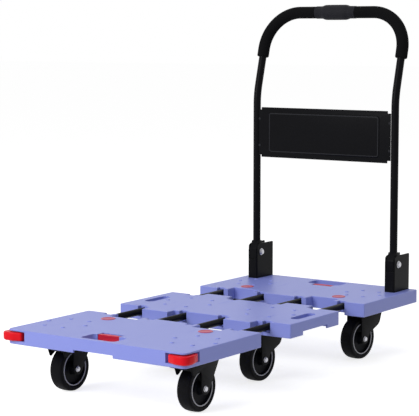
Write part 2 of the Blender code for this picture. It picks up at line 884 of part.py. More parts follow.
def latch_spring(name, frame, length):
    """Coil spring that pushes the latch back out, between the deck and the latch's back."""
    radius = spring_radius
    reach = spring_length - 2 * (spring_wire + seat_gap)
    count = spring_turns * spring_steps
    start = spring_start(length) + spring_wire + seat_gap
    points = [
        (
            latch_centre + spring_offset + radius * math.cos(2 * math.pi * i / spring_steps),
            start + reach * i / count,
            tube_z + radius * math.sin(2 * math.pi * i / spring_steps),
        )
        for i in range(count + 1)
    ]
    part(name, swept(points, spring_wire, 4), bright_steel, frame)


def lock_bar(name, frame):
    """Steel cross bar in the deck's guide, just under the inner tubes."""
    half = inner_tube_x + lock_bar_overhang
    mesh = rod(lock_bar_radius, (-half, 0, 0), (half, 0, 0))
    part(name, mesh, bright_steel, frame, (0, lock_bar_inset, lock_bar_z))


def plate_blank():
    """Flat top plate of a caster, with rounded corners."""
    x = plate_width / 2
    y = plate_length / 2
    corners = [(-x, -y, plate_corner), (x, -y, plate_corner), (x, y, plate_corner), (-x, y, plate_corner)]
    plate = slab(rounded(corners, 2), plate_thickness)
    plate.transform(Matrix.Translation((0, 0, plate_bottom + plate_thickness / 2)))
    return plate


def swivel_plate():
    """Top plate with the ball race and the kingpin that holds the fork, about the swivel axis."""
    hub_top = plate_bottom + plate_thickness / 2
    head_top = crown_bottom - seat_gap
    head_bottom = head_top - kingpin_head_height
    profile = [
        (0, hub_top), (race_radius, hub_top), (race_radius, plate_bottom - race_height / 2),
        (race_radius - race_height / 2, plate_bottom - race_height),
        (kingpin_radius, plate_bottom - race_height), (kingpin_radius, head_top),
        (kingpin_head_radius, head_top), (kingpin_head_radius, head_bottom + kingpin_head_height / 2),
        (kingpin_head_radius * head_flat_share, head_bottom), (0, head_bottom),
    ]
    return carve(plate_blank(), added=[turned(profile, tube_facets, False)])


def axle_hole(y):
    """Cutter for the holes that the axle bolt passes through in both legs."""
    reach = fork_half + overrun
    return rod(axle_radius + slide_fit, (-reach, y, wheel_radius), (reach, y, wheel_radius), bolt_facets)


def swivel_fork():
    """Pressed fork about the swivel axis: crown, short front web and two legs that trail down to the axle."""
    axle_y = -caster_trail
    front_edge = axle_y - fork_foot
    foot = wheel_radius - fork_foot
    web_bottom = crown_bottom - fork_web_depth
    outline = rounded([
        (fork_rear_top, crown_top, fork_wall), (front_edge, crown_top, fork_wall),
        (front_edge, foot, fork_foot),
        (axle_y + fork_foot, foot, fork_foot), (fork_rear_knee, fork_rear_knee_height, fork_foot),
    ])
    inside = side_slab([
        (front_edge + fork_wall, crown_bottom), (front_edge + fork_wall, web_bottom),
        (front_edge - overrun, web_bottom), (front_edge - overrun, -overrun),
        (fork_rear_top + overrun, -overrun), (fork_rear_top + overrun, crown_bottom),
    ], 2 * (fork_half - fork_wall))
    pin_hole = rod(
        kingpin_radius + slide_fit, (0, 0, crown_bottom - fork_wall), (0, 0, crown_top + fork_wall)
    )
    return carve(side_slab(outline, 2 * fork_half), removed=[inside, pin_hole, axle_hole(axle_y)])


def fixed_fork():
    """Fixed caster's bracket over its axle: top plate, flared legs and a sloping web each end."""
    foot = wheel_radius - fork_foot
    slope = (fixed_fork_reach - fixed_fork_knee) / (plate_bottom - fixed_fork_knee_height)
    wall = fork_wall * math.hypot(1, slope)
    web_reach = fixed_fork_knee + (fixed_fork_web_bottom - fixed_fork_knee_height) * slope
    half_outline = [
        (fork_foot, foot, fork_foot), (fixed_fork_knee, fixed_fork_knee_height, fork_foot),
        (fixed_fork_reach, plate_bottom, 0), (fixed_fork_reach, plate_bottom + plate_thickness / 2, 0),
    ]
    outline = rounded(half_outline + [(-y, z, radius) for y, z, radius in reversed(half_outline)])
    top = plate_bottom - fork_wall
    half_inside = [
        (web_reach + overrun, -overrun), (web_reach + overrun, fixed_fork_web_bottom),
        (web_reach - wall, fixed_fork_web_bottom), (fixed_fork_reach - fork_wall * slope - wall, top),
    ]
    inside = side_slab(
        half_inside + [(-y, z) for y, z in reversed(half_inside)], 2 * (fork_half - fork_wall)
    )
    shell = carve(side_slab(outline, 2 * fork_half), removed=[inside, axle_hole(0)])
    return carve(shell, added=[plate_blank()])


def caster_tyre():
    """Rubber tyre turned about the axle, standing on a flat facet of its tread."""
    flat = 1 / math.cos(math.pi / wheel_facets)
    tread = wheel_radius * flat
    shoulder = (wheel_radius - shoulder_drop) * flat
    inner = (rim_radius + seat_gap) * flat
    half = wheel_width / 2
    side = half - shoulder_drop / 2
    profile = [
        (tread, tread_width / 2), (tread, -tread_width / 2), (shoulder, -side),
        (shoulder - shoulder_drop, -half), (inner, -half), (inner, half),
        (shoulder - shoulder_drop, half), (shoulder, side),
    ]
    return lying(turned(profile, wheel_facets, True))


def caster_hub():
    """Plastic wheel centre: rim with a raised lip each side, dished web and a boss that fills the fork."""
    boss = wheel_width / 2 + wheel_side_room - seat_gap
    rim = rim_width / 2
    web = web_width / 2
    bore = axle_radius + slide_fit
    right = [
        (rim_radius, 0), (rim_radius, -rim), (rim_radius - rim_lip, -rim),
        (rim_radius - 2 * rim_lip, -web), (boss_radius + rim_lip, -web), (boss_radius, -boss), (bore, -boss),
    ]
    left = [(radius, -height) for radius, height in reversed(right[1:])]
    return lying(turned(right + left, hub_facets, True))


def headed_bolt(radius, reach, head_radius, head_height, facets):
    """Bolt along X with its head at the +X end and a nut of the same size at the other."""
    half = reach / 2 + seat_gap
    profile = [
        (0, half + head_height), (head_radius * head_flat_share, half + head_height),
        (head_radius, half + head_height / 2), (head_radius, half), (radius, half), (radius, -half),
        (head_radius, -half), (head_radius, -half - head_height), (0, -half - head_height),
    ]
    return lying(turned(profile, facets, False))


def casters():
    """Two fixed casters under the front deck and four swivel ones, each on an empty at its plate's centre."""
    plate_mesh = swivel_plate()
    swivel_mesh = swivel_fork()
    fixed_mesh = fixed_fork()
    hub_mesh = caster_hub()
    tyre_mesh = caster_tyre()
    bolt_mesh = headed_bolt(axle_radius, 2 * fork_half, axle_head_radius, axle_head_height, bolt_facets)
    deck_frames = {"front": -end_inner, "mid": 0, "rear": end_inner}
    for name, deck, x, y, turn in caster_places:
        place = (x, deck_frames[deck] + y, 0)
        stand = empty(name + "_caster", place, trolley, math.radians(turn))
        if deck == "front":
            axle = (0, 0, wheel_radius)
            part(name + "_fork", fixed_mesh, black_steel, stand)
        else:
            axle = (0, -caster_trail, wheel_radius)
            part(name + "_caster_plate", plate_mesh, bright_steel, trolley, place)
            part(name + "_fork", swivel_mesh, black_steel, stand)
        part(name + "_hub", hub_mesh, black_plastic, stand, axle)
        part(name + "_tyre", tyre_mesh, tyre_rubber, stand, axle)
        part(name + "_axle", bolt_mesh, bright_steel, stand, axle)


def bracket(name, frame, x):
    """Folded steel channel on the rear deck, open to the rear, that holds a handle post."""
    depth = bracket_depth
    height = bracket_height
    shell = side_slab(rounded([
        (0, 0, 0), (depth, 0, 0), (depth, height, bracket_rear_round), (0, height, bracket_front_round),
    ], 4), bracket_width)
    inside = side_slab([
        (bracket_wall, bracket_floor), (depth + overrun, bracket_floor), (depth + overrun, height + overrun),
        (-overrun, height + overrun), (-overrun, bracket_web_height), (bracket_wall, bracket_web_height),
    ], bracket_width - 2 * bracket_wall)
    hole = rod(
        pivot_radius + slide_fit, (-bracket_width, pivot_from_web, pivot_height),
        (bracket_width, pivot_from_web, pivot_height),
    )
    mesh = carve(shell, removed=[inside, hole])
    place = (x, bracket_front - end_inner, deck_top + seat_gap)
    part(name, mesh, black_steel, frame, place, smooth=False)


def handle_run():
    """Points up one post from the pivot to the middle of the top bar, with the distance to each."""
    points = [Vector((bracket_x, 0, 0))]
    for step in range(arc_steps + 1):
        angle = bend_angle * step / arc_steps
        back = bend_radius * (1 - math.cos(angle))
        points.append(Vector((bracket_x, back, bend_height + bend_radius * math.sin(angle))))
    slope = Vector((0, math.sin(bend_angle), math.cos(bend_angle)))
    length = (handle_rise - handle_slope_start) / math.cos(bend_angle)
    top = points[-1] + slope * length
    centre = top - slope * handle_corner - Vector((handle_corner, 0, 0))
    for step in range(2 * arc_steps + 1):
        angle = math.pi / 2 * step / (2 * arc_steps)
        across = Vector((math.cos(angle) * handle_corner, 0, 0))
        points.append(centre + across + slope * (math.sin(angle) * handle_corner))
    points.append(Vector((0, top.y, top.z)))
    lengths = [0.0]
    for first, second in zip(points, points[1:]):
        lengths.append(lengths[-1] + (second - first).length)
    return points, lengths


def stretch(start, end):
    """Points of the handle run between two distances from the pivot."""
    points, lengths = handle_run()
    table = np.array([tuple(p) for p in points])
    inner = [s for s in lengths if start + weld_distance < s < end - weld_distance]
    return [Vector(np.interp(s, lengths, table[:, k]) for k in range(3)) for s in [start, *inner, end]]


def handle_frame(frame):
    """Bent steel tube with a solid lug at each foot, whose heel bears on the bracket's web when upright."""
    half = stretch(lug_above_pivot / 2, handle_run()[1][-1])
    other = [Vector((-p.x, p.y, p.z)) for p in reversed(half[:-1])]
    tube = swept(half + other, post_radius, small_facets)
    front_face = bracket_wall + seat_gap - pivot_from_web
    lug = side_slab(rounded([
        (front_face, -lug_below_pivot, lug_corner), (lug_rear / 2, -lug_below_pivot, lug_corner),
        (lug_rear, -lug_corner, lug_corner), (lug_rear, lug_above_pivot / 2, lug_corner),
        (post_radius / 2, lug_above_pivot + post_radius, 0),
        (-post_radius / 2, lug_above_pivot + post_radius, 0),
        (front_face, lug_above_pivot / 2, lug_corner),
    ], 2), bracket_width - 2 * (bracket_wall + seat_gap))
    lugs = []
    holes = []
    for side in (-1, 1):
        x = side * bracket_x
        one = lug.copy()
        one.transform(Matrix.Translation((x, 0, 0)))
        lugs.append(one)
        holes.append(rod(pivot_radius + slide_fit, (x - bracket_width, 0, 0), (x + bracket_width, 0, 0)))
    part("handle_frame", carve(tube, removed=holes, added=lugs), black_steel, frame)


def sleeve(name, frame, side):
    """Foam sleeve over the tube from the post round the corner to the centre grip."""
    total = handle_run()[1][-1]
    end = total - grip_length / 2 - seat_gap
    line = [Vector((side * p.x, p.y, p.z)) for p in stretch(sleeve_start, end)]
    past = [Vector((side * p.x, p.y, p.z)) for p in stretch(sleeve_start - overrun, end + overrun)]
    mesh = carve(
        swept(line, sleeve_radius, small_facets), removed=[swept(past, post_radius + seat_gap, small_facets)]
    )
    part(name, mesh, foam_rubber, frame)


def centre_grip(frame):
    """Moulded palm grip on the middle of the top bar."""
    half = grip_length / 2
    swell = grip_swell_length / 2
    bore = post_radius + seat_gap
    between = (grip_end_radius + grip_swell_radius) / 2
    right = [
        (grip_end_radius, half), (grip_end_radius, swell + (half - swell) * grip_neck_share),
        (between, swell + (half - swell) * (1 - grip_neck_share)), (grip_swell_radius, swell),
    ]
    left = [(radius, -height) for radius, height in reversed(right)]
    mesh = lying(turned([*right, *left, (bore, -half), (bore, half)], hub_facets, True))
    top = handle_run()[0][-1]
    part("centre_grip", mesh, black_plastic, frame, top)


def handle_panel(frame):
    """Pressed steel panel with a raised field, held to the posts by four tabs."""
    work = bmesh.new()
    bmesh.ops.create_grid(work, x_segments=1, y_segments=1, size=1)
    for vert in work.verts:
        vert.co.x *= panel_width / 2
        vert.co.y *= panel_height / 2
    face = list(work.faces)
    bmesh.ops.inset_region(work, faces=face, thickness=panel_border, use_boundary=True, use_even_offset=True)
    squeeze = (panel_width / 2 - panel_side_border) / (panel_width / 2 - panel_border)
    for vert in face[0].verts:
        vert.co.x *= squeeze
    bmesh.ops.inset_region(work, faces=face, thickness=emboss_slope, use_boundary=True, use_even_offset=True)
    for vert in face[0].verts:
        vert.co.z += emboss_height
    mesh = bpy.data.meshes.new("panel")
    work.to_mesh(mesh)
    work.free()
    obj = loose("panel", mesh)
    sheet = obj.modifiers.new("sheet", "SOLIDIFY")
    sheet.thickness = panel_sheet
    sheet.offset = 0
    panel = mesh_of(obj, "panel")
    panel.transform(Matrix.Rotation(math.pi / 2, 4, "X"))
    reach = bracket_x - math.sqrt((post_radius + seat_gap) ** 2 - panel_forward**2) - seat_gap
    tabs = []
    for side in (-1, 1):
        for up in (-1, 1):
            z = up * (panel_height / 2 - panel_tab_inset)
            start = panel_width / 2 - panel_sheet * 2
            low = (side * start if side > 0 else -reach, -panel_sheet / 2, z - panel_tab_height / 2)
            high = (reach if side > 0 else side * start, panel_sheet / 2, z + panel_tab_height / 2)
            tabs.append(box(low, high))
    mesh = carve(panel, added=tabs)
    place = (0, -panel_forward, panel_bottom + panel_height / 2)
    part("handle_panel", mesh, black_steel, frame, place, smooth=False)


def handle():
    """Folding handle on an empty at its pivot line, with the bolts that carry it."""
    pivot = empty("handle_pivot", (0, pivot_y, pivot_z), trolley)
    handle_frame(pivot)
    handle_panel(pivot)
    centre_grip(pivot)
    bolt = headed_bolt(pivot_radius, bracket_width, pivot_head_radius, pivot_head_height, small_facets)
    for side, name in ((-1, "left"), (1, "right")):
        sleeve("foam_sleeve_" + name, pivot, side)
        bracket("handle_bracket_" + name, rear, side * bracket_x)
        part("pivot_bolt_" + name, bolt, bright_steel, pivot, (side * bracket_x, 0, 0))


mid_deck()
end_deck("front_deck", front, front_deck_length, corner_radius, fixed_caster_inset)
end_deck("rear_deck", rear, rear_deck_length, sharp_corner, swivel_caster_inset)
slide_tubes()
for end, end_frame, end_length in (("front", front, front_deck_length), ("rear", rear, rear_deck_length)):
    latch(end + "_latch", end_frame, end_length)
    latch_spring(end + "_latch_spring", end_frame, end_length)
    lock_bar(end + "_lock_bar", end_frame)
    # The front deck's own frame is turned half round, so its left plug lies at +X there.
    facing = -1 if end == "front" else 1
    plug(end + "_left_plug", end_frame, -facing * plug_x)
    plug(end + "_right_plug", end_frame, facing * plug_x)
for bumper_side in (-1, 1):
    bumper(bumper_side)
casters()
handle()
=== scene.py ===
import math

import bpy
import numpy as np
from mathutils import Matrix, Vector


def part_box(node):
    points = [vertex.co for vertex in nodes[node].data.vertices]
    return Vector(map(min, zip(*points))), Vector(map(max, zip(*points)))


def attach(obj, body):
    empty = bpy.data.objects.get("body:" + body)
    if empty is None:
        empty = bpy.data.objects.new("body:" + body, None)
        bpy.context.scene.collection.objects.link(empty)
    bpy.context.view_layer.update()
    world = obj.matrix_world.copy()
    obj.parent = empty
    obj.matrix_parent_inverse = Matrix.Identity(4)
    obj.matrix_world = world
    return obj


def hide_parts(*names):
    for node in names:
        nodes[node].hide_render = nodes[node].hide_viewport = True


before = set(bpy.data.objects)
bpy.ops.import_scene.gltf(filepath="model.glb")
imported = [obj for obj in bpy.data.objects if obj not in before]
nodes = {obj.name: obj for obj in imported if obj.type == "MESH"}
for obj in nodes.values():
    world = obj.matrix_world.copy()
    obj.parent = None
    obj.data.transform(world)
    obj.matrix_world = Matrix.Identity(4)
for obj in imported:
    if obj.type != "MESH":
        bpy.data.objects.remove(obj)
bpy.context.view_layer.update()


# The three deck mouldings. Each is one blue plastic moulding, ribbed below, with a fine spark-eroded
# grain on its faces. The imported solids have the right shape, so they stay and only get their plastic.


class Value:
    """One output of a node. Arithmetic on it adds Math nodes to the same tree."""

    def __init__(self, maker, socket):
        self.maker = maker
        self.socket = socket

    def math(self, operation, other):
        return self.maker.node("ShaderNodeMath", {"operation": operation}, [self, other])

    def __add__(self, other):
        return self.math("ADD", other)

    def __mul__(self, other):
        return self.math("MULTIPLY", other)

    __radd__ = __add__
    __rmul__ = __mul__


class Nodes:
    """Adds nodes to one node tree."""

    def __init__(self, tree):
        self.tree = tree

    def node(self, kind, settings=None, inputs=(), output=0):
        """Any node: its type, its settings, then the values or links of its sockets."""
        made = self.tree.nodes.new(kind)
        for key, value in (settings or {}).items():
            setattr(made, key, value)
        pairs = inputs.items() if isinstance(inputs, dict) else enumerate(inputs)
        for socket, value in pairs:
            if isinstance(value, Value):
                self.tree.links.new(value.socket, made.inputs[socket])
            else:
                made.inputs[socket].default_value = value
        return Value(self, made.outputs[output])


class Finish(Nodes):
    """A Principled material built from nodes, for one kind of surface."""

    def __init__(self, name, colour, roughness, **uniform):
        self.material = bpy.data.materials.new(name)
        self.material.use_nodes = True
        super().__init__(self.material.node_tree)
        self.shader = self.tree.nodes["Principled BSDF"]
        self.colour = (*colour, 1.0)
        self.shader.inputs["Base Color"].default_value = self.colour
        self.shader.inputs["Roughness"].default_value = roughness
        for socket, value in uniform.items():
            self.shader.inputs[socket.replace("_", " ")].default_value = value

    def place(self, stretch):
        """Object coordinates in metres, stretched along each axis."""
        coordinates = self.node("ShaderNodeTexCoord", output="Object")
        return self.node("ShaderNodeMapping", None, {"Vector": coordinates, "Scale": stretch})

    def noise(self, scale, detail, stretch=(1, 1, 1)):
        """Cloudy noise from 0 to 1, with this many cells to the metre."""
        inputs = {"Vector": self.place(stretch), "Scale": scale, "Detail": detail}
        return self.node("ShaderNodeTexNoise", None, inputs)

    def step(self, value, low, high):
        """0 under low, 1 over high, straight between."""
        return self.node("ShaderNodeMapRange", {"clamp": True}, [value, low, high, 0.0, 1.0])

    def tint(self, share, other):
        """Base colour that turns to the other colour by the share. Sockets 6 and 7 take the colours."""
        inputs = {0: share, 6: self.colour, 7: (*other, 1.0)}
        self.feed("Base Color", self.node("ShaderNodeMix", {"data_type": "RGBA"}, inputs, output=2))

    def feed(self, socket, value):
        self.tree.links.new(value.socket, self.shader.inputs[socket])

    def bump(self, height, depth, strength):
        """Surface relief: height from 0 to 1 over this depth in metres."""
        inputs = {"Height": height, "Distance": depth, "Strength": strength}
        self.feed("Normal", self.node("ShaderNodeBump", None, inputs))


def deck_finish():
    """Periwinkle plastic: a fine even grain, faint flow clouds and a few dull scuffs."""
    made = Finish("deck_plastic_grained", (0.250, 0.295, 0.775), 0.40)
    clouds = made.noise(scale=9, detail=3)
    made.tint(made.step(clouds, low=0.35, high=0.75) * 0.35, (0.285, 0.325, 0.780))
    scuffs = made.step(made.noise(scale=60, detail=4, stretch=(1, 0.15, 1)), low=0.62, high=0.70)
    made.feed("Roughness", 0.36 + clouds * 0.08 + scuffs * 0.10)
    grain = made.noise(scale=1400, detail=2) * 0.7 + made.noise(scale=260, detail=2) * 0.3
    made.bump(grain, depth=0.00018, strength=0.5)
    return made.material


deck_plastic = deck_finish()


def paint(node, material):
    """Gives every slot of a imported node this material."""
    if not nodes[node].material_slots:
        nodes[node].data.materials.append(material)
    for slot in nodes[node].material_slots:
        slot.material = material


for deck in ("front_deck", "mid_deck", "rear_deck"):
    paint(deck, deck_plastic)


# Grip pips on the decks: low round studs, six in a ring over each caster, that keep a load from
# sliding. They are moulded in one with the deck's top, in the same plastic.


def shell(rings, closed=False):
    """Points and faces of rings joined side to side, with flat ends unless the rings close on themselves.

    The faces are turned round if the signed volume under them comes out negative."""
    rings = np.asarray(rings, float)
    rows, columns = rings.shape[:2]
    row = np.arange(rows if closed else rows - 1)[:, None]
    column = np.arange(columns)[None, :]
    below = row * columns
    above = (row + 1) % rows * columns
    beside = (column + 1) % columns
    corners = np.broadcast_arrays(below + column, below + beside, above + beside, above + column)
    quads = np.stack(corners, -1).reshape(-1, 4)
    points = rings.reshape(-1, 3)
    about = points - points.mean(0)
    a, b, c, d = (about[quads[:, k]] for k in range(4))
    volume = np.einsum("ij,ij->", a, np.cross(b, c)) + np.einsum("ij,ij->", a, np.cross(c, d))
    faces = quads.tolist()
    if not closed:
        first = np.arange(columns)[::-1]
        last = np.arange(columns) + (rows - 1) * columns
        for cap in (first, last):
            around = about[cap]
            spokes = np.cross(around[1:-1], around[2:])
            volume += (spokes @ around[0]).sum()
            faces.append(cap.tolist())
    if volume < 0:
        faces = [face[::-1] for face in faces]
    return points, faces


def piece(name, shells, material, body, replaced=(), sharp=40):
    """A new mesh piece from several closed shells, riding on a body."""
    mesh = bpy.data.meshes.new(name)
    starts = np.cumsum([0] + [len(points) for points, _ in shells])
    faces = [[i + start for i in face] for (_, made), start in zip(shells, starts.tolist()) for face in made]
    mesh.from_pydata(np.concatenate([points for points, _ in shells]), [], faces)
    mesh.materials.append(material)
    mesh.shade_smooth()
    mesh.set_sharp_from_angle(angle=math.radians(sharp))
    made = bpy.data.objects.new(name, mesh)
    bpy.context.scene.collection.objects.link(made)
    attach(made, body)
    if replaced:
        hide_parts(*replaced)
    return made


pip_radius = 0.0048
pip_height = 0.0014
pip_sunk = 0.0001
pip_sides = 20
pip_turns = np.radians(np.arange(0, 360, 60))
pip_rings = {"middle": (0.116, 0.004, 0.061), "front": (0.173, -0.372, 0.052), "rear": (0.158, 0.352, 0.046)}
deck_low, deck_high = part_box("mid_deck")
deck_y = (deck_low.y + deck_high.y) / 2
deck_top = deck_high.z


def pip(x, y):
    """A low round stud on the deck: its rim turns over through a quarter circle, then the top is flat."""
    rise = np.linspace(0, math.pi / 2, 5)
    around = np.linspace(0, 2 * math.pi, pip_sides, endpoint=False)
    spread = np.concatenate([[pip_radius], pip_radius - pip_height * (1 - np.cos(rise))])
    lift = np.concatenate([[-pip_sunk], pip_height * np.sin(rise)])
    rings = np.stack([
        spread[:, None] * np.cos(around) + x,
        spread[:, None] * np.sin(around) + y,
        np.repeat(lift[:, None], pip_sides, 1) + deck_top,
    ], -1)
    return shell(rings)


for body, (ring_x, ring_y, ring_radius) in pip_rings.items():
    pips = [
        pip(side * (ring_x + ring_radius * math.cos(turn)), ring_y + ring_radius * math.sin(turn) + deck_y)
        for side in (-1, 1) for turn in pip_turns
    ]
    piece(body + "_deck_pips", pips, deck_plastic, body)


# Slide tubes: four drawn steel tubes, powder coated black, fixed in the middle deck. The outer pair
# is plain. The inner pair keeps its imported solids, because they hold the lock notches underneath.


def coat_finish(name, colour, roughness):
    """Black powder coat: a soft orange-peel skin, a little duller in faint clouds, with fine dust specks."""
    made = Finish(name, colour, roughness, Specular_IOR_Level=0.045)
    clouds = made.noise(scale=35, detail=3)
    made.feed("Roughness", roughness - 0.04 + clouds * 0.10)
    specks = made.step(made.noise(scale=900, detail=2), low=0.70, high=0.78)
    made.tint(specks * 0.25, tuple(2.2 * c for c in colour))
    peel = made.noise(scale=420, detail=2) * 0.6 + made.noise(scale=1500, detail=1) * 0.4
    made.bump(peel, depth=0.00012, strength=0.55)
    return made.material


def lathe(profile, centre, axis, sides, closed=False):
    """A profile of (radius, distance) rows turned about an axis through the centre.

    Each ring is centre + distance along the axis + radius times (cosine, sine) across it."""
    axis = np.asarray(axis, float) / np.linalg.norm(axis)
    helper = np.array((0, 0, 1.0)) if abs(axis[2]) < 0.9 else np.array((1.0, 0, 0))
    first = np.cross(helper, axis)
    first /= np.linalg.norm(first)
    second = np.cross(axis, first)
    profile = np.asarray(profile, float)
    around = np.linspace(0, 2 * math.pi, sides, endpoint=False)
    spokes = np.cos(around)[:, None] * first + np.sin(around)[:, None] * second
    rings = profile[:, 0, None, None] * spokes + (profile[:, 1, None] * axis)[:, None, :] + centre
    return shell(rings, closed)


def rounded(corners, steps=5):
    """A closed outline through corners (x, y, radius). Each radius becomes an arc between its two sides,
    centred on the corner's bisector at radius over the sine of half the corner's angle."""
    corners = np.asarray(corners, float)
    here = corners[:, :2]
    radius = corners[:, 2:3]
    to_last = np.roll(here, 1, 0) - here
    to_next = np.roll(here, -1, 0) - here
    to_last /= np.linalg.norm(to_last, axis=1, keepdims=True)
    to_next /= np.linalg.norm(to_next, axis=1, keepdims=True)
    half_angle = np.arccos(np.clip((to_last * to_next).sum(1), -1, 1))[:, None] / 2
    bisector = to_last + to_next
    bisector /= np.linalg.norm(bisector, axis=1, keepdims=True)
    hub = here + bisector * radius / np.sin(half_angle)
    start = here + to_last * radius / np.tan(half_angle) - hub
    end = here + to_next * radius / np.tan(half_angle) - hub
    opening = math.pi - 2 * half_angle[:, :, None]
    share = np.linspace(0, 1, steps + 1)[None, :, None]
    arc = np.sin((1 - share) * opening) * start[:, None] + np.sin(share * opening) * end[:, None]
    points = (hub[:, None] + arc / np.sin(opening)).reshape(-1, 2)
    keep = np.ones((len(corners), steps + 1), bool)
    keep[radius[:, 0] == 0, 1:] = False
    return points[keep.reshape(-1)]


black_coat = coat_finish("black_powder_coat", (0.0050, 0.0050, 0.0062), 0.30)
tube_half = 0.297
tube_z = 0.138
tube_outside = 0.008
tube_inside = 0.0065
tube_edge = 0.0004
outer_low, outer_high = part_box("slide_tube_outer_right")
tube_x = (outer_low.x + outer_high.x) / 2
tube_wall = rounded([
    (tube_outside, -tube_half, tube_edge), (tube_outside, tube_half, tube_edge),
    (tube_inside, tube_half, tube_edge), (tube_inside, -tube_half, tube_edge),
], 3)
for name, side in (("left", -1), ("right", 1)):
    piece(
        "outer_tube_" + name, [lathe(tube_wall, (side * tube_x, deck_y, tube_z), (0, 1, 0), 48, True)],
        black_coat, "middle", ["slide_tube_outer_" + name],
    )
    paint("slide_tube_inner_" + name, black_coat)


# Round plugs: four red plastic plugs that cover the fixings of the end decks. Each has a thin domed
# head that laps over its hole and a stem that is pressed in.


def red_finish(name, colour, other, specular):
    """Satin red: an even fine grain, faintly uneven depth and soft handling marks."""
    made = Finish(name, colour, 0.30, Specular_IOR_Level=specular)
    clouds = made.noise(scale=40, detail=3)
    made.tint(clouds * 0.3, other)
    made.feed("Roughness", 0.29 + clouds * 0.12)
    made.bump(made.noise(scale=1200, detail=2), depth=0.00008, strength=0.5)
    return made.material


cap_plastic = red_finish("cap_plastic_red", (0.560, 0.075, 0.150), (0.48, 0.060, 0.130), 0.20)
cap_profile = np.array([
    (0.0001, -0.0086), (0.0046, -0.0086), (0.0050, -0.0082), (0.0050, -0.0026), (0.0133, -0.0026),
    (0.0135, -0.0022), (0.0135, 0.0001), (0.0163, 0.0001), (0.0163, 0.0004), (0.0158, 0.0010),
    (0.0148, 0.0013), (0.0126, 0.0013), (0.0117, 0.0008), (0.0060, 0.0005), (0.0001, 0.0005),
])
end_inner = 0.219
cap_x = 0.133
cap_reach = end_inner + 0.059
for body, way in (("front", -1), ("rear", 1)):
    for name, side in (("left", -1), ("right", 1)):
        spot = (side * cap_x, way * cap_reach + deck_y, deck_top)
        piece(
            f"{body}_{name}_cap", [lathe(cap_profile, spot, (0, 0, 1), 48)],
            cap_plastic, body, [f"{body}_{name}_plug"], 30,
        )


# Push latches: a red plastic button in the hand slot of each end deck. The imported solids stay, and a
# low oval ridge moulded on the top gives the thumb its place. The ridge is drawn in a lighter red as a
# painted highlight.


def layered(outline, profile, place, closed=False):
    """A flat form with shaped rims: the outline is drawn in along its own normals by each profile row's
    inset, at that row's height. place turns (x, y, height) arrays into points."""
    outline = np.asarray(outline, float)
    before = outline - np.roll(outline, 1, 0)
    after = np.roll(outline, -1, 0) - outline
    before /= np.linalg.norm(before, axis=1, keepdims=True)
    after /= np.linalg.norm(after, axis=1, keepdims=True)
    tangent = before + after
    tangent /= np.linalg.norm(tangent, axis=1, keepdims=True)
    stretch = 1 / np.maximum((tangent * before).sum(1, keepdims=True), 0.5)
    normal = np.stack([-tangent[:, 1], tangent[:, 0]], 1) * stretch
    x, y = outline.T
    area = (x * np.roll(y, -1) - y * np.roll(x, -1)).sum()
    normal *= math.copysign(1, area)
    inset, height = np.asarray(profile, float).T
    flat = outline[None] + inset[:, None, None] * normal[None]
    return shell(place(flat[..., 0], flat[..., 1], np.repeat(height[:, None], len(outline), 1)), closed)


def upright(x, y, height):
    """Outline in plan, height upwards."""
    return np.stack([x, y, height], -1)


latch_plastic = red_finish("latch_plastic_crimson", (0.560, 0.012, 0.035), (0.45, 0.010, 0.030), 0.30)
# Lighter red for the ridge: painted highlight.
latch_ridge_painted_highlight = red_finish("latch_ridge_red_painted_highlight", (0.680, 0.120, 0.160), (0.60, 0.100, 0.140), 0.30)
ridge_long = 0.0245
ridge_short = 0.0050
ridge_blunt = 0.8
ridge_from_face = 0.0068
ridge_around = np.linspace(0, 2 * math.pi, 64, endpoint=False)
ridge_profile = np.array([
    (0, -0.0004), (0, 0.0002), (0.0004, 0.0006), (0.0010, 0.0007), (0.0016, 0.0005), (0.0020, 0.0001),
    (0.0024, -0.0004),
])
for body in ("front", "rear"):
    paint(body + "_latch", latch_plastic)
    latch_low, latch_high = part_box(body + "_latch")
    ridge_x = (latch_low.x + latch_high.x) / 2
    ridge_y = latch_low.y + ridge_from_face if body == "front" else latch_high.y - ridge_from_face
    cosine = np.cos(ridge_around)
    oval = np.stack([
        ridge_x + ridge_long * np.sign(cosine) * np.abs(cosine) ** ridge_blunt,
        ridge_y + ridge_short * np.sin(ridge_around),
    ], 1)
    ridge = layered(oval, ridge_profile + (0, latch_high.z), upright)
    piece(body + "_latch_ridge", [ridge], latch_ridge_painted_highlight, body + "_latch")


# Sills: small blocks of the middle deck's moulding that close its mouths under each of the four
# tubes, at both ends, so that no daylight shows below the tubes.


def rim(low, high, radius, top_radius=None, steps=4):
    """Profile of (inset, height) rows for a plate between two heights with both rims rounded."""
    turn = np.linspace(0, math.pi / 2, steps + 1)
    rows = []
    for size, level, way in ((radius, low, 1), (top_radius or radius, high, -1)):
        rows.append(np.stack([size * (1 - np.sin(turn)), level + way * size * (1 - np.cos(turn))], 1)[::way])
    return np.concatenate(rows)


mouth_half = 0.0098
sill_start = 0.0918
sill_end = 0.1038
sill_rim = rim(0.1187, 0.1262, 0.0005)
sills = []
for mouth_x in (-0.174, -0.054, 0.054, 0.174):
    for end in (-1, 1):
        near, far = sorted((end * sill_start, end * sill_end))
        sill = [
            (mouth_x - mouth_half, near + deck_y), (mouth_x + mouth_half, near + deck_y),
            (mouth_x + mouth_half, far + deck_y), (mouth_x - mouth_half, far + deck_y),
        ]
        sills.append(layered(sill, sill_rim, upright))
piece("middle_deck_mouth_sills", sills, deck_plastic, "middle")


# Corner bumpers: two soft red plastic bands clipped round the front deck's corners. They taper back
# into the deck's faces at both ends and have well rounded rims.

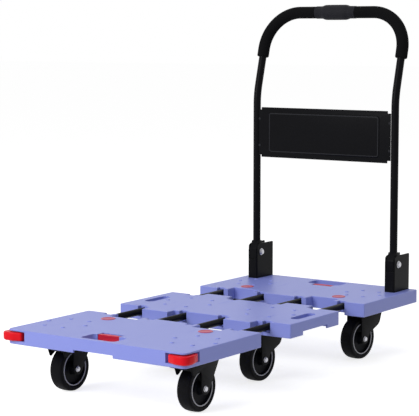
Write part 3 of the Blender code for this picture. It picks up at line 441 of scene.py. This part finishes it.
red_plastic = red_finish("red_plastic_satin", (0.820, 0.006, 0.016), (0.68, 0.007, 0.018), 0.12)
half_width = 0.2375
deck_end = end_inner + 0.2765
band_run = 0.042
band_depth = 0.0087
band_bow = 0.0189
band_lip = 0.002
stand_out = 0.010
band_face = half_width + stand_out
bumper_low, bumper_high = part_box("corner_bumper_right")
bumper_rim = rim(bumper_low.z, bumper_high.z, 0.0050, 0.0028, 6)
band = rounded([
    (half_width - band_depth, deck_end - band_run, 0.0012),
    (half_width + band_lip, deck_end - band_run, 0.0050),
    (band_face, deck_end - band_bow, 0.030),
    (band_face, deck_end + stand_out, 0.015),
    (half_width - band_bow, deck_end + stand_out, 0.030),
    (half_width - band_run, deck_end + band_lip, 0.0050),
    (half_width - band_run, deck_end - band_depth, 0.0012),
    (half_width - band_depth, deck_end - band_depth, 0.003),
], 8)
for name, side in (("left", -1), ("right", 1)):
    outline = np.stack([side * band[:, 0], deck_y - band[:, 1]], 1)
    piece(
        "bumper_" + name, [layered(outline, bumper_rim, upright)],
        red_plastic, "front", ["corner_bumper_" + name],
    )


# Casters: 100 mm wheels of black plastic with a rubber tyre, and a thin grey line where the two meet.
# A zinc bolt with washers and nuts holds each wheel in a black pressed fork. The front pair's forks
# are fixed. The others turn under a zinc plate with a kingpin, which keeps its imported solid.


def rubber_finish():
    """Black tyre rubber: dull and slightly dusty, with a fine grain."""
    made = Finish("tyre_rubber_black", (0.0038, 0.0038, 0.0050), 0.60, Specular_IOR_Level=0.06)
    dust = made.step(made.noise(scale=70, detail=4), low=0.45, high=0.75)
    made.tint(dust * 0.25, (0.009, 0.009, 0.011))
    made.feed("Roughness", 0.56 + dust * 0.16)
    made.bump(made.noise(scale=900, detail=3), depth=0.00015, strength=0.6)
    return made.material


def moulded_black(name, colour, roughness):
    """Black moulded plastic: satin, with a fine grain."""
    made = Finish(name, colour, roughness, Specular_IOR_Level=0.05)
    clouds = made.noise(scale=60, detail=3)
    made.feed("Roughness", roughness - 0.05 + clouds * 0.1)
    made.bump(made.noise(scale=1300, detail=2), depth=0.0001, strength=0.5)
    return made.material


def zinc_finish():
    """Bright zinc plate: faint cloudy passivation over a very fine grain."""
    made = Finish("zinc_plate", (0.50, 0.50, 0.53), 0.30, Metallic=1.0)
    clouds = made.noise(scale=120, detail=3)
    made.tint(clouds * 0.5, (0.46, 0.46, 0.50))
    made.feed("Roughness", 0.22 + clouds * 0.16)
    made.bump(made.noise(scale=1800, detail=2), depth=0.00005, strength=0.4)
    return made.material


def line_finish():
    """Pale grey ring where tyre and rim meet: smooth plastic, a little dirty in patches."""
    made = Finish("ring_grey", (0.56, 0.56, 0.60), 0.45)
    dirt = made.step(made.noise(scale=90, detail=4), low=0.45, high=0.80)
    made.tint(dirt * 0.4, (0.33, 0.33, 0.36))
    made.feed("Roughness", 0.40 + dirt * 0.20)
    return made.material


def hexagon(centre, axis, turn, inner, low, high):
    """A six-sided nut along an axis, its corners cut back by a cone at the outer face.

    The outline's radius is the inner radius over the cosine of the angle from the nearest flat's middle."""
    angle = np.linspace(0, 2 * math.pi, 36, endpoint=False)
    flat = inner / np.cos((angle % (math.pi / 3)) - math.pi / 6)
    reach = np.stack([flat, flat, np.minimum(flat, inner * 1.05), np.full_like(flat, inner * 0.97)])
    levels = np.array((low, high - 0.0008, high - 0.0004, high))
    up = np.array((0, 0, 1.0))
    beside = np.cross(up, axis)
    spokes = np.cos(angle + turn)[:, None] * beside + np.sin(angle + turn)[:, None] * up
    rings = reach[:, :, None] * spokes + (levels[:, None] * np.asarray(axis))[:, None, :] + centre
    return shell(rings)


def on_side(ahead, height, across):
    """Outline seen from the side, thickness across."""
    return np.stack([across, ahead, height], -1)


def stood(shells, foot, turn=0.0):
    """The same shells turned about +Z by an angle, then moved to a foot."""
    across = (math.cos(turn), math.sin(turn), 0)
    ahead = (-math.sin(turn), math.cos(turn), 0)
    axes = np.array([across, ahead, (0, 0, 1)])
    return [(points @ axes + foot, faces) for points, faces in shells]


tyre_rubber = rubber_finish()
wheel_plastic = moulded_black("wheel_plastic_black", (0.0040, 0.0045, 0.0070), 0.42)
ring_grey = line_finish()
zinc = zinc_finish()

wheel_radius = 0.050
tread_half = 0.0160
tread_rise = 0.0075
tread_power = 2.4
tread_across = np.linspace(-1, 1, 33)
tread_bulge = (1 - np.abs(tread_across) ** tread_power) ** (1 / tread_power)
tread = np.stack([
    wheel_radius - tread_rise + tread_rise * tread_bulge, tread_half * np.sin(tread_across * math.pi / 2)
], 1)
tyre_profile = np.concatenate([
    [(0.0384, -0.0146), (0.0390, -0.0152)], tread, [(0.0390, 0.0152), (0.0384, 0.0146)],
])
hub_profile = rounded([
    (0.0380, -0.0145, 0.0006), (0.0380, 0.0145, 0.0006), (0.0350, 0.0148, 0.0012), (0.0320, 0.0080, 0.0025),
    (0.0140, 0.0076, 0.0030), (0.0112, 0.0192, 0.0010), (0.0044, 0.0192, 0.0003),
    (0.0044, -0.0192, 0.0003), (0.0112, -0.0192, 0.0010), (0.0140, -0.0076, 0.0030),
    (0.0320, -0.0080, 0.0025), (0.0350, -0.0148, 0.0012),
], 5)
line_profile = rounded([
    (0.0352, 0.0140, 0.0002), (0.0377, 0.0140, 0.0002), (0.0377, 0.0157, 0.0006), (0.0352, 0.0157, 0.0006),
], 3)

axle_shank = [(0.0040, -0.0215), (0.0040, 0.0215)]
nut_seat = 0.0228
nut_foot = nut_seat + 0.0008
nut_top = nut_seat + 0.0034
axle_washer = [(0.0064, nut_seat), (0.0064, nut_seat + 0.0006), (0.0061, nut_foot)]
axle_end = [
    (0.0030, nut_seat + 0.003), (0.0030, nut_seat + 0.0036), (0.0024, nut_seat + 0.0041),
    (0.0004, nut_seat + 0.0042),
]

sheet_edge = 0.0008
leg_inner = 0.0195
leg_outer = 0.0225
leg_rims = (rim(-leg_outer, -leg_inner, sheet_edge), rim(leg_inner, leg_outer, sheet_edge))
swivel_leg = rounded([
    (0.0340, 0.1125, 0.0010), (-0.0505, 0.1125, 0.0010), (-0.0505, 0.0375, 0.0125),
    (-0.0255, 0.0375, 0.0120), (-0.0215, 0.0600, 0.0200), (0.0225, 0.0800, 0.0200),
], 8)
swivel_crown = rounded([
    (-0.0225, -0.0505, 0.0030), (0.0225, -0.0505, 0.0030),
    (0.0225, 0.0320, 0.0100), (-0.0225, 0.0320, 0.0100),
])
swivel_lip = rounded([
    (-0.0505, 0.1125, 0.0010), (-0.0475, 0.1125, 0.0010),
    (-0.0475, 0.1047, 0.0010), (-0.0505, 0.1047, 0.0010),
])
fixed_leg = rounded([
    (0.0125, 0.0375, 0.0125), (0.0270, 0.0630, 0.0200), (0.0600, 0.1195, 0.0005), (-0.0570, 0.1195, 0.0005),
    (-0.0400, 0.0790, 0.0040), (-0.0125, 0.0965, 0.0080), (-0.0125, 0.0375, 0.0125),
], 8)
fixed_web = rounded([
    (0.0425, 0.0930, 0.0008), (0.0570, 0.1195, 0.0005), (0.0536, 0.1195, 0.0005), (0.0391, 0.0930, 0.0008),
])
fixed_plate = rounded([
    (-0.0300, -0.0400, 0.006), (0.0300, -0.0400, 0.006), (0.0300, 0.0400, 0.006), (-0.0300, 0.0400, 0.006),
])
swivel_fork = [layered(swivel_leg, leg_rim, on_side) for leg_rim in leg_rims] + [
    layered(swivel_crown, rim(0.1107, 0.1137, 0.0012, 0.0024), upright),
    layered(swivel_lip, rim(-0.0222, 0.0222, sheet_edge), on_side),
]
fixed_fork = [layered(fixed_leg, leg_rim, on_side) for leg_rim in leg_rims] + [
    layered(fixed_web * (side, 1), rim(-0.0218, 0.0218, sheet_edge), on_side) for side in (-1, 1)
] + [layered(fixed_plate, rim(0.1192, 0.1222, sheet_edge), upright)]

front_y = -(end_inner + 0.147)
rear_y = end_inner + 0.121
middle_y = -0.006
swivel_trail = 0.038
caster_places = (
    ("front_left", "front", -0.172, front_y, 0.0, 0.0),
    ("front_right", "front", 0.172, front_y, 0.0, 0.0),
    ("mid_left", "middle", -0.113, middle_y, swivel_trail, 0.0),
    ("mid_right", "middle", 0.113, middle_y, swivel_trail, -3.0),
    ("rear_left", "rear", -0.176, rear_y, swivel_trail, 0.0),
    ("rear_right", "rear", 0.176, rear_y, swivel_trail, -6.0),
)
for name, deck, x, y, trail, degrees in caster_places:
    turn = math.radians(degrees)
    centre = np.array((x + math.sin(turn) * trail, y + deck_y - math.cos(turn) * trail, wheel_radius))
    axle = np.array((math.cos(turn), math.sin(turn), 0.0))
    holder = name + "_swivel" if trail else deck
    wheel = name + "_wheel"
    piece(
        name + "_rubber", [lathe(tyre_profile, centre, axle, 96, True)],
        tyre_rubber, wheel, [name + "_tyre"], 50,
    )
    piece(
        name + "_wheel_centre", [lathe(hub_profile, centre, axle, 80, True)],
        wheel_plastic, wheel, [name + "_hub"], 35,
    )
    lines = [lathe(line_profile * (1, side), centre, axle, 96, True) for side in (-1, 1)]
    piece(name + "_grey_line", lines, ring_grey, wheel)
    fixing = [lathe(axle_shank, centre, axle, 24)]
    for side in (-1, 1):
        out = side * axle
        fixing.append(lathe(axle_washer, centre, out, 40))
        fixing.append(hexagon(centre, out, 0.3, 0.0050, nut_foot, nut_top))
        fixing.append(lathe(axle_end, centre, out, 24))
    piece(name + "_axle_bolt", fixing, zinc, holder, [name + "_axle"], 30)
    fork = stood(swivel_fork if trail else fixed_fork, (x, y + deck_y, 0), turn)
    if trail:
        paint(name + "_caster_plate", zinc)
    piece(name + "_yoke", fork, black_coat, holder, [name + "_fork"])


# Latch springs and lock bars: coils of spring wire behind the latches, and a steel bar across the
# inner tubes in each end deck. They are bright steel, hidden in the decks, and keep their solids.

for body in ("front", "rear"):
    paint(body + "_latch_spring", zinc)
    paint(body + "_lock_bar", zinc)


# Handle brackets: black steel sheet folded into a channel, open to the rear, with a low front web and
# tall cheeks. Each is screwed to the rear deck, and a zinc pivot bolt crosses its cheeks.


def folded(path, outward, tops, wall, bottom):
    """A folded sheet standing on edge: a closed section of wall thickness carried along a path in plan.

    Each ring is the outer face up, over the rounded upper edge, and the inner face down again."""
    path = np.asarray(path, float)
    low = np.full(len(path), bottom)
    edge = wall * 0.3
    rows = [(0, low), (0, tops - edge), (edge, tops), (wall - edge, tops), (wall, tops - edge), (wall, low)]
    rings = [np.column_stack([path - depth * outward, level]) for depth, level in rows]
    return shell(np.stack(rings, 1))


def mirrored(half_plan):
    """The left half of a plan, then its mirror image back to the rear."""
    return np.concatenate([half_plan, (half_plan * (-1, 1))[::-1]])


bracket_x = 0.2015
bracket_depth = 0.0760
bracket_wall = 0.0025
bracket_floor = 0.003
cheek_half = 0.0140
fold_radius = 0.0042
web_height = 0.050
shoulder_height = 0.074
shoulder_start = 0.55
front_round = 0.016
rear_round = 0.0015
cheek_end = bracket_depth - fold_radius
cheek = np.concatenate([
    np.linspace(0, 0.018, 19), np.linspace(0.022, cheek_end - 0.002, 8),
    cheek_end - np.array((0.0014, 0.0008, 0.0003, 0.0)),
])[::-1]
fold_turn = np.linspace(0, math.pi / 2, 9)
fold = np.column_stack([
    -cheek_half + fold_radius * (1 - np.cos(fold_turn)), fold_radius * (1 - np.sin(fold_turn))
])
fold_out = np.column_stack([-np.cos(fold_turn), -np.sin(fold_turn)])
cheek_plan = np.column_stack([np.full(len(cheek), -cheek_half), cheek + fold_radius])
cheek_out = np.tile((-1.0, 0.0), (len(cheek), 1))
plan = mirrored(np.concatenate([cheek_plan, fold[1:]]))
outward = mirrored(np.concatenate([cheek_out, fold_out[1:]]))

bracket_low, bracket_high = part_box("handle_bracket_right")
bracket_height = bracket_high.z - bracket_low.z
from_front = plan[:, 1]
front_share = np.clip(1 - from_front / front_round, 0, 1)
rear_share = np.clip((from_front - bracket_depth + rear_round) / rear_round, 0, 1)
cheek_tops = np.minimum(
    bracket_height - front_round * (1 - np.sqrt(1 - front_share ** 2)),
    bracket_height - rear_round * rear_share ** 2,
)
shoulder_run = fold_radius * (1 - shoulder_start)
from_middle = np.abs(plan[:, 0]) - cheek_half + fold_radius * shoulder_start
shoulder = np.clip(from_middle / shoulder_run, 0, 1) ** 0.5
web_tops = web_height + (np.minimum(cheek_tops, shoulder_height) - web_height) * shoulder
tops = np.where(from_front < fold_radius, web_tops, cheek_tops)
floor_half = 0.0137
floor_line = rounded([
    (-floor_half, 0.0005, 0.003), (floor_half, 0.0005, 0.003),
    (floor_half, bracket_depth, 0.001), (-floor_half, bracket_depth, 0.001),
])
floor_rim = rim(bracket_low.z, bracket_low.z + bracket_floor, 0.0006)

pivot_low, pivot_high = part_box("pivot_bolt_right")
pivot = np.array((0, (pivot_low.y + pivot_high.y) / 2, 0.2183))
pivot_shank = [(0.0050, -0.0142), (0.0050, 0.0142)]
pivot_washer = [(0.0088, 0.0143), (0.0088, 0.0152), (0.0084, 0.0156), (0.0062, 0.0156)]
pivot_end = [(0.0044, 0.0186), (0.0043, 0.0192), (0.0034, 0.0196), (0.0003, 0.0197)]
for name, side in (("left", -1), ("right", 1)):
    foot = np.array((side * bracket_x, bracket_low.y))
    sheet = folded(plan + foot, outward, tops + bracket_low.z, bracket_wall, bracket_low.z)
    base = layered(floor_line + foot, floor_rim, upright)
    piece("bracket_" + name, [sheet, base], black_coat, "rear", ["handle_bracket_" + name])
    centre = pivot + (side * bracket_x, 0, 0)
    bolt = [lathe(pivot_shank, centre, (1, 0, 0), 32)]
    for way in (-1, 1):
        axis = (way, 0, 0)
        bolt.append(lathe(pivot_washer, centre, axis, 48))
        bolt.append(hexagon(centre, axis, 0.4, 0.0062, 0.0156, 0.0188))
        bolt.append(lathe(pivot_end, centre, axis, 32))
    piece("bolt_" + name, bolt, zinc, "handle", ["pivot_bolt_" + name], 30)


# Handle tube: one black steel tube bent over the top, leaning back above a bend in each post. A lug
# welded round each foot fits between the bracket's cheeks and turns on the pivot bolt.

post_radius = 0.0095
bend_height = 0.382
bend_radius = 0.200
bend_angle = math.radians(15)
bend_steps = 17
handle_rise = 0.617
corner_radius = 0.095
corner_steps = 33
tube_start = 0.012


def handle_line():
    """The tube's centre line from the right pivot to the middle of the top bar, in the pivot's own frame.

    Straight up, an arc that leans back, straight along the slope, then a quarter circle in the sloping
    plane, and half of the top bar."""
    lean = np.linspace(0, bend_angle, bend_steps)
    bend = np.stack([
        np.full(bend_steps, bracket_x),
        bend_radius * (1 - np.cos(lean)),
        bend_height + bend_radius * np.sin(lean),
    ], 1)
    slope = np.array((0, math.sin(bend_angle), math.cos(bend_angle)))
    slope_length = (handle_rise - bend[-1, 2]) / slope[2]
    high = bend[-1] + slope * slope_length
    sideways = np.array((corner_radius, 0, 0))
    hub = high - slope * corner_radius - sideways
    turn = np.linspace(0, math.pi / 2, corner_steps)
    corner = hub + np.cos(turn)[:, None] * sideways + np.sin(turn)[:, None] * slope * corner_radius
    return np.concatenate([[(bracket_x, 0, 0)], bend, corner, [(0, high[1], high[2])]])


def along(distances):
    """Points of the handle's centre line at these distances from the pivot."""
    return np.stack([np.interp(distances, line_run, centre_line[:, k]) for k in range(3)], 1)


def sweep(path, radii, sides, bore=None):
    """Round section carried along a path, one radius to a point; with a bore, the rings return inside.

    Across each point the section's axes are the part of +Y square to the path, and their cross product."""
    path = np.asarray(path, float)
    heading = np.gradient(path, axis=0)
    heading /= np.linalg.norm(heading, axis=1, keepdims=True)
    first = np.array((0, 1.0, 0)) - heading[:, 1:2] * heading
    first /= np.linalg.norm(first, axis=1, keepdims=True)
    second = np.cross(heading, first)
    around = np.linspace(0, 2 * math.pi, sides, endpoint=False)
    spokes = np.cos(around)[None, :, None] * first[:, None] + np.sin(around)[None, :, None] * second[:, None]
    radii = np.broadcast_to(radii, len(path))
    outer = path[:, None] + radii[:, None, None] * spokes
    if bore is None:
        return shell(outer)
    inner = path[:, None] + bore * spokes
    return shell(np.concatenate([outer, inner[::-1]]), True)


def both_sides(points):
    """The same points after their mirror image, so that the path runs over the whole handle."""
    return np.concatenate([points, (points * (-1, 1, 1))[-2::-1]])


centre_line = handle_line()
line_run = np.concatenate([[0], np.cumsum(np.linalg.norm(np.diff(centre_line, axis=0), axis=1))])
line_length = line_run[-1]
tube_path = both_sides(along(np.concatenate([[tube_start], line_run[1:]]))) + pivot
lug_half = 0.0104
lug_line = rounded([
    (-0.0177, -0.0330, 0.005), (0.0055, -0.0330, 0.005), (0.0110, -0.0050, 0.005), (0.0110, 0.0100, 0.005),
    (0.0070, 0.0295, 0.001), (-0.0070, 0.0295, 0.001), (-0.0177, 0.0100, 0.005),
], 6)
lug = layered(lug_line, rim(-lug_half, lug_half, 0.0010), on_side)
lugs = stood([lug], pivot - (bracket_x, 0, 0)) + stood([lug], pivot + (bracket_x, 0, 0))
piece(
    "handle_tube", [sweep(tube_path, post_radius, 40), *lugs],
    black_coat, "handle", ["handle_frame"],
)


# Foam sleeves: two lengths of black closed-cell foam tube pushed over the handle's bends, with
# rounded ends. They are soft.


def foam_finish():
    """Closed-cell foam rubber: matt, with fine open pores."""
    made = Finish("foam_rubber_black", (0.0055, 0.0055, 0.0062), 0.9, Specular_IOR_Level=0.05)
    pores = made.noise(scale=1500, detail=3)
    made.tint(made.step(pores, low=0.5, high=0.8) * 0.4, (0.013, 0.013, 0.015))
    made.bump(pores * 0.6 + made.noise(scale=300, detail=3) * 0.4, depth=0.0005, strength=0.6)
    return made.material


foam = foam_finish()
sleeve_radius = 0.0150
sleeve_bore = 0.0098
sleeve_start = 0.508
sleeve_gap = 0.0003
end_run = 0.0028
end_drop = 0.0022
grip_length = 0.116
end_steps = np.array((0.0004, 0.0012, end_run))
spread_out = np.linspace(sleeve_start, line_length - grip_length / 2 - sleeve_gap, 60)
spots = np.concatenate([
    spread_out[:1], spread_out[0] + end_steps, spread_out[2:-2],
    spread_out[-1] - end_steps[::-1], spread_out[-1:],
])
end_share = np.clip(np.minimum(spots - spots[0], spots[-1] - spots) / end_run, 0, 1)
sleeve_radii = sleeve_radius - end_drop * (1 - np.sqrt(1 - (1 - end_share) ** 2))
for name, side in (("left", -1), ("right", 1)):
    sleeve_path = along(spots) * (side, 1, 1) + pivot
    sleeve = piece(
        "foam_grip_" + name, [sweep(sleeve_path, sleeve_radii, 48, sleeve_bore)], foam, "handle",
        ["foam_sleeve_" + name], 60,
    )


# Middle grip: a moulded black rubber-like grip between the sleeves, swelling towards the middle of
# the top bar, with a band of fine ribs near each end.

grip_plastic = moulded_black("grip_rubber_black", (0.0200, 0.0200, 0.0240), 0.55)
grip_half = grip_length / 2
grip_neck = 0.0157
grip_swell = 0.0026
grip_crown = 0.0008
grip_end_drop = 0.0010
rib_depth = 0.0004
rib_pitch = 0.0030
grip_across = np.linspace(-grip_half, grip_half, 233)
grip_share = np.abs(grip_across) / grip_half
swell_share = np.clip((0.72 - grip_share) / 0.24, 0, 1)
swell = (grip_swell + grip_crown * (1 - grip_share ** 2)) * swell_share ** 2 * (3 - 2 * swell_share)
grip_radii = grip_neck + swell - grip_end_drop * np.clip((grip_share - 0.97) / 0.03, 0, 1) ** 2
ribbed = (np.cos(grip_across / rib_pitch * 2 * math.pi) > 0.2) * (grip_share > 0.76) * (grip_share < 0.96)
grip_outside = np.stack([grip_radii - rib_depth * ribbed, grip_across], 1)
grip_profile = np.concatenate([grip_outside, [(sleeve_bore, grip_half), (sleeve_bore, -grip_half)]])
bar_middle = along([line_length])[0] + pivot
piece(
    "palm_grip", [lathe(grip_profile, bar_middle, (1, 0, 0), 64, True)], grip_plastic, "handle",
    ["centre_grip"], 50,
)


# Handle panel: a black steel sheet between the posts with a raised field, and four small rivets in the side
# flanges that hold it.
# A lighter black band round the field's rim and on the rivet heads is painted highlight. It is bare, without
# any print or label.

# Lighter black for the band round the field and for the rivets: painted highlight.
painted_highlight_black = coat_finish("black_coat_painted_highlight", (0.0280, 0.0280, 0.0320), 0.34)
panel_low, panel_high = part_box("handle_panel")
panel_half = panel_high.x
flange = 0.184
notch = 0.006
notch_low = panel_low.z + notch
notch_high = panel_high.z - notch
panel_edge = 0.001
panel_line = rounded([
    (x, z, panel_edge) for x, z in (
        (-flange, panel_low.z), (flange, panel_low.z), (flange, notch_low), (panel_half, notch_low),
        (panel_half, notch_high), (flange, notch_high), (flange, panel_high.z), (-flange, panel_high.z),
        (-flange, notch_high), (-panel_half, notch_high), (-panel_half, notch_low), (-flange, notch_low),
    )
], 4)


def facing(x, z, forward):
    """Outline in the panel's plane, height towards the front."""
    return np.stack([x, panel_high.y - forward, z], -1)


field_x = flange - 0.021
field_low = panel_low.z + 0.011
field_high = panel_high.z - 0.011
field_corner = 0.010
field_line = rounded([
    (-field_x, field_low, field_corner), (field_x, field_low, field_corner),
    (field_x, field_high, field_corner), (-field_x, field_high, field_corner),
], 10)
swage = np.linspace(0, 1, 9)
field_rows = np.stack([0.0050 * swage, 0.0012 + 0.0027 * swage ** 2 * (3 - 2 * swage)], 1)
# Rows of a thin band over the field's rim, drawn in the lighter black as a painted highlight.
highlight_rows = np.array([
    (0.0034, 0.0030), (0.0036, 0.0040), (0.0046, 0.0042), (0.0058, 0.0041), (0.0060, 0.0030),
])
rivet_x = 0.1895
rivet_inset = 0.030
rivet_head = [(0.0034, 0.0012), (0.0034, 0.0018), (0.0026, 0.0026), (0.0010, 0.0029), (0.0001, 0.0030)]
rivets = [
    lathe(rivet_head, (side * rivet_x, panel_high.y, z), (0, -1, 0), 28)
    for side in (-1, 1) for z in (panel_low.z + rivet_inset, panel_high.z - rivet_inset)
]
panel_rim = rim(0.0, 0.0015, 0.0004)
panel_sheet = [layered(panel_line, panel_rim, facing), layered(field_line, field_rows, facing)]
painted_highlight_edge = [layered(field_line, highlight_rows, facing, True)]
piece("panel_sheet", panel_sheet, black_coat, "handle", ["handle_panel"], 30)
piece("panel_rubbed_edge", painted_highlight_edge, painted_highlight_black, "handle")
piece("panel_rivets", rivets, painted_highlight_black, "handle")


# Studio: a plain pale floor, a large soft key from the left front, a weak light from above and a
# faint one from the right, and a white surround that the camera, gloss and glass see as white.


def white_rays(maker):
    """1 for camera, glossy and transmission rays, 0 for all others."""
    path = maker.tree.nodes.new("ShaderNodeLightPath")
    camera, glossy, through = (
        Value(maker, path.outputs[ray]) for ray in ("Is Camera Ray", "Is Glossy Ray", "Is Transmission Ray")
    )
    return camera.math("MAXIMUM", glossy).math("MAXIMUM", through)


def add_floor():
    """A wide floor: diffuse, so that it keeps the object's shadow, with a glow that the camera sees."""
    half_size = 30
    glow_level = 0.76
    floor_grey = 0.72
    corners = [(-half_size, -half_size, 0), (half_size, -half_size, 0), (half_size, half_size, 0),
               (-half_size, half_size, 0)]
    mesh = bpy.data.meshes.new("floor")
    mesh.from_pydata(corners, [], [(0, 1, 2, 3)])
    floor = bpy.data.objects.new("floor", mesh)
    bpy.context.scene.collection.objects.link(floor)
    material = bpy.data.materials.new("pale_floor")
    material.use_nodes = True
    maker = Nodes(material.node_tree)
    maker.tree.nodes.remove(maker.tree.nodes["Principled BSDF"])
    glow = maker.node("ShaderNodeEmission", None, {"Strength": white_rays(maker) * glow_level})
    matt = maker.node("ShaderNodeBsdfDiffuse", None, {"Color": (floor_grey, floor_grey, floor_grey, 1)})
    both = maker.node("ShaderNodeAddShader", None, [glow, matt])
    maker.tree.links.new(both.socket, maker.tree.nodes["Material Output"].inputs["Surface"])
    mesh.materials.append(material)


def add_surround():
    """A world that lights the object weakly and is seen as full white."""
    fill_level = 0.32
    world = bpy.data.worlds.new("surround")
    bpy.context.scene.world = world
    world.use_nodes = True
    maker = Nodes(world.node_tree)
    back = maker.tree.nodes["Background"]
    level = maker.node("ShaderNodeMapRange", None, {
        "Value": white_rays(maker), "To Min": fill_level, "To Max": 1.0,
    })
    maker.tree.links.new(level.socket, back.inputs["Strength"])
    back.inputs["Color"].default_value = (1, 1, 1, 1)


def add_lamps():
    """Area lamps: name, place, aim, size in metres and power in watts."""
    lamps = (
        ("key", (-1.2, -3.6, 1.9), (0, 0, 0.2), 2.0, 97),
        ("top", (0.2, 0.4, 3.2), (0, 0, 0.2), 2.6, 20),
        ("right", (3.0, -1.2, 1.2), (0, 0, 0.3), 1.6, 0.8),
    )
    for name, place, aim, size, power in lamps:
        light = bpy.data.lights.new(name, "AREA")
        light.size = size
        light.energy = power
        lamp = bpy.data.objects.new(name, light)
        bpy.context.scene.collection.objects.link(lamp)
        lamp.location = place
        lamp.rotation_euler = Vector(np.subtract(aim, place)).to_track_quat("-Z", "Y").to_euler()


def add_camera():
    """The photo's view, fitted to it: the camera looks at the target from an angle and a distance."""
    azimuth = math.radians(35.2)
    elevation = math.radians(6.27)
    distance = 3.6984
    target = np.array((-0.0401, -0.018 + deck_y, 0.3815))
    focal_pixels = 1599.18
    photo_width = 419
    sensor_width = 36
    away = np.array((
        math.sin(azimuth) * math.cos(elevation),
        -math.cos(azimuth) * math.cos(elevation),
        math.sin(elevation),
    ))
    lens = bpy.data.cameras.new("photo_view")
    lens.sensor_width = sensor_width
    lens.lens = focal_pixels / photo_width * sensor_width
    lens.clip_end = 200
    camera = bpy.data.objects.new("photo_view", lens)
    bpy.context.scene.collection.objects.link(camera)
    camera.location = target + away * distance
    camera.rotation_euler = Vector(-away).to_track_quat("-Z", "Y").to_euler()
    bpy.context.scene.camera = camera
    bpy.context.scene.view_settings.view_transform = "Standard"


add_floor()
add_surround()
add_lamps()
add_camera()
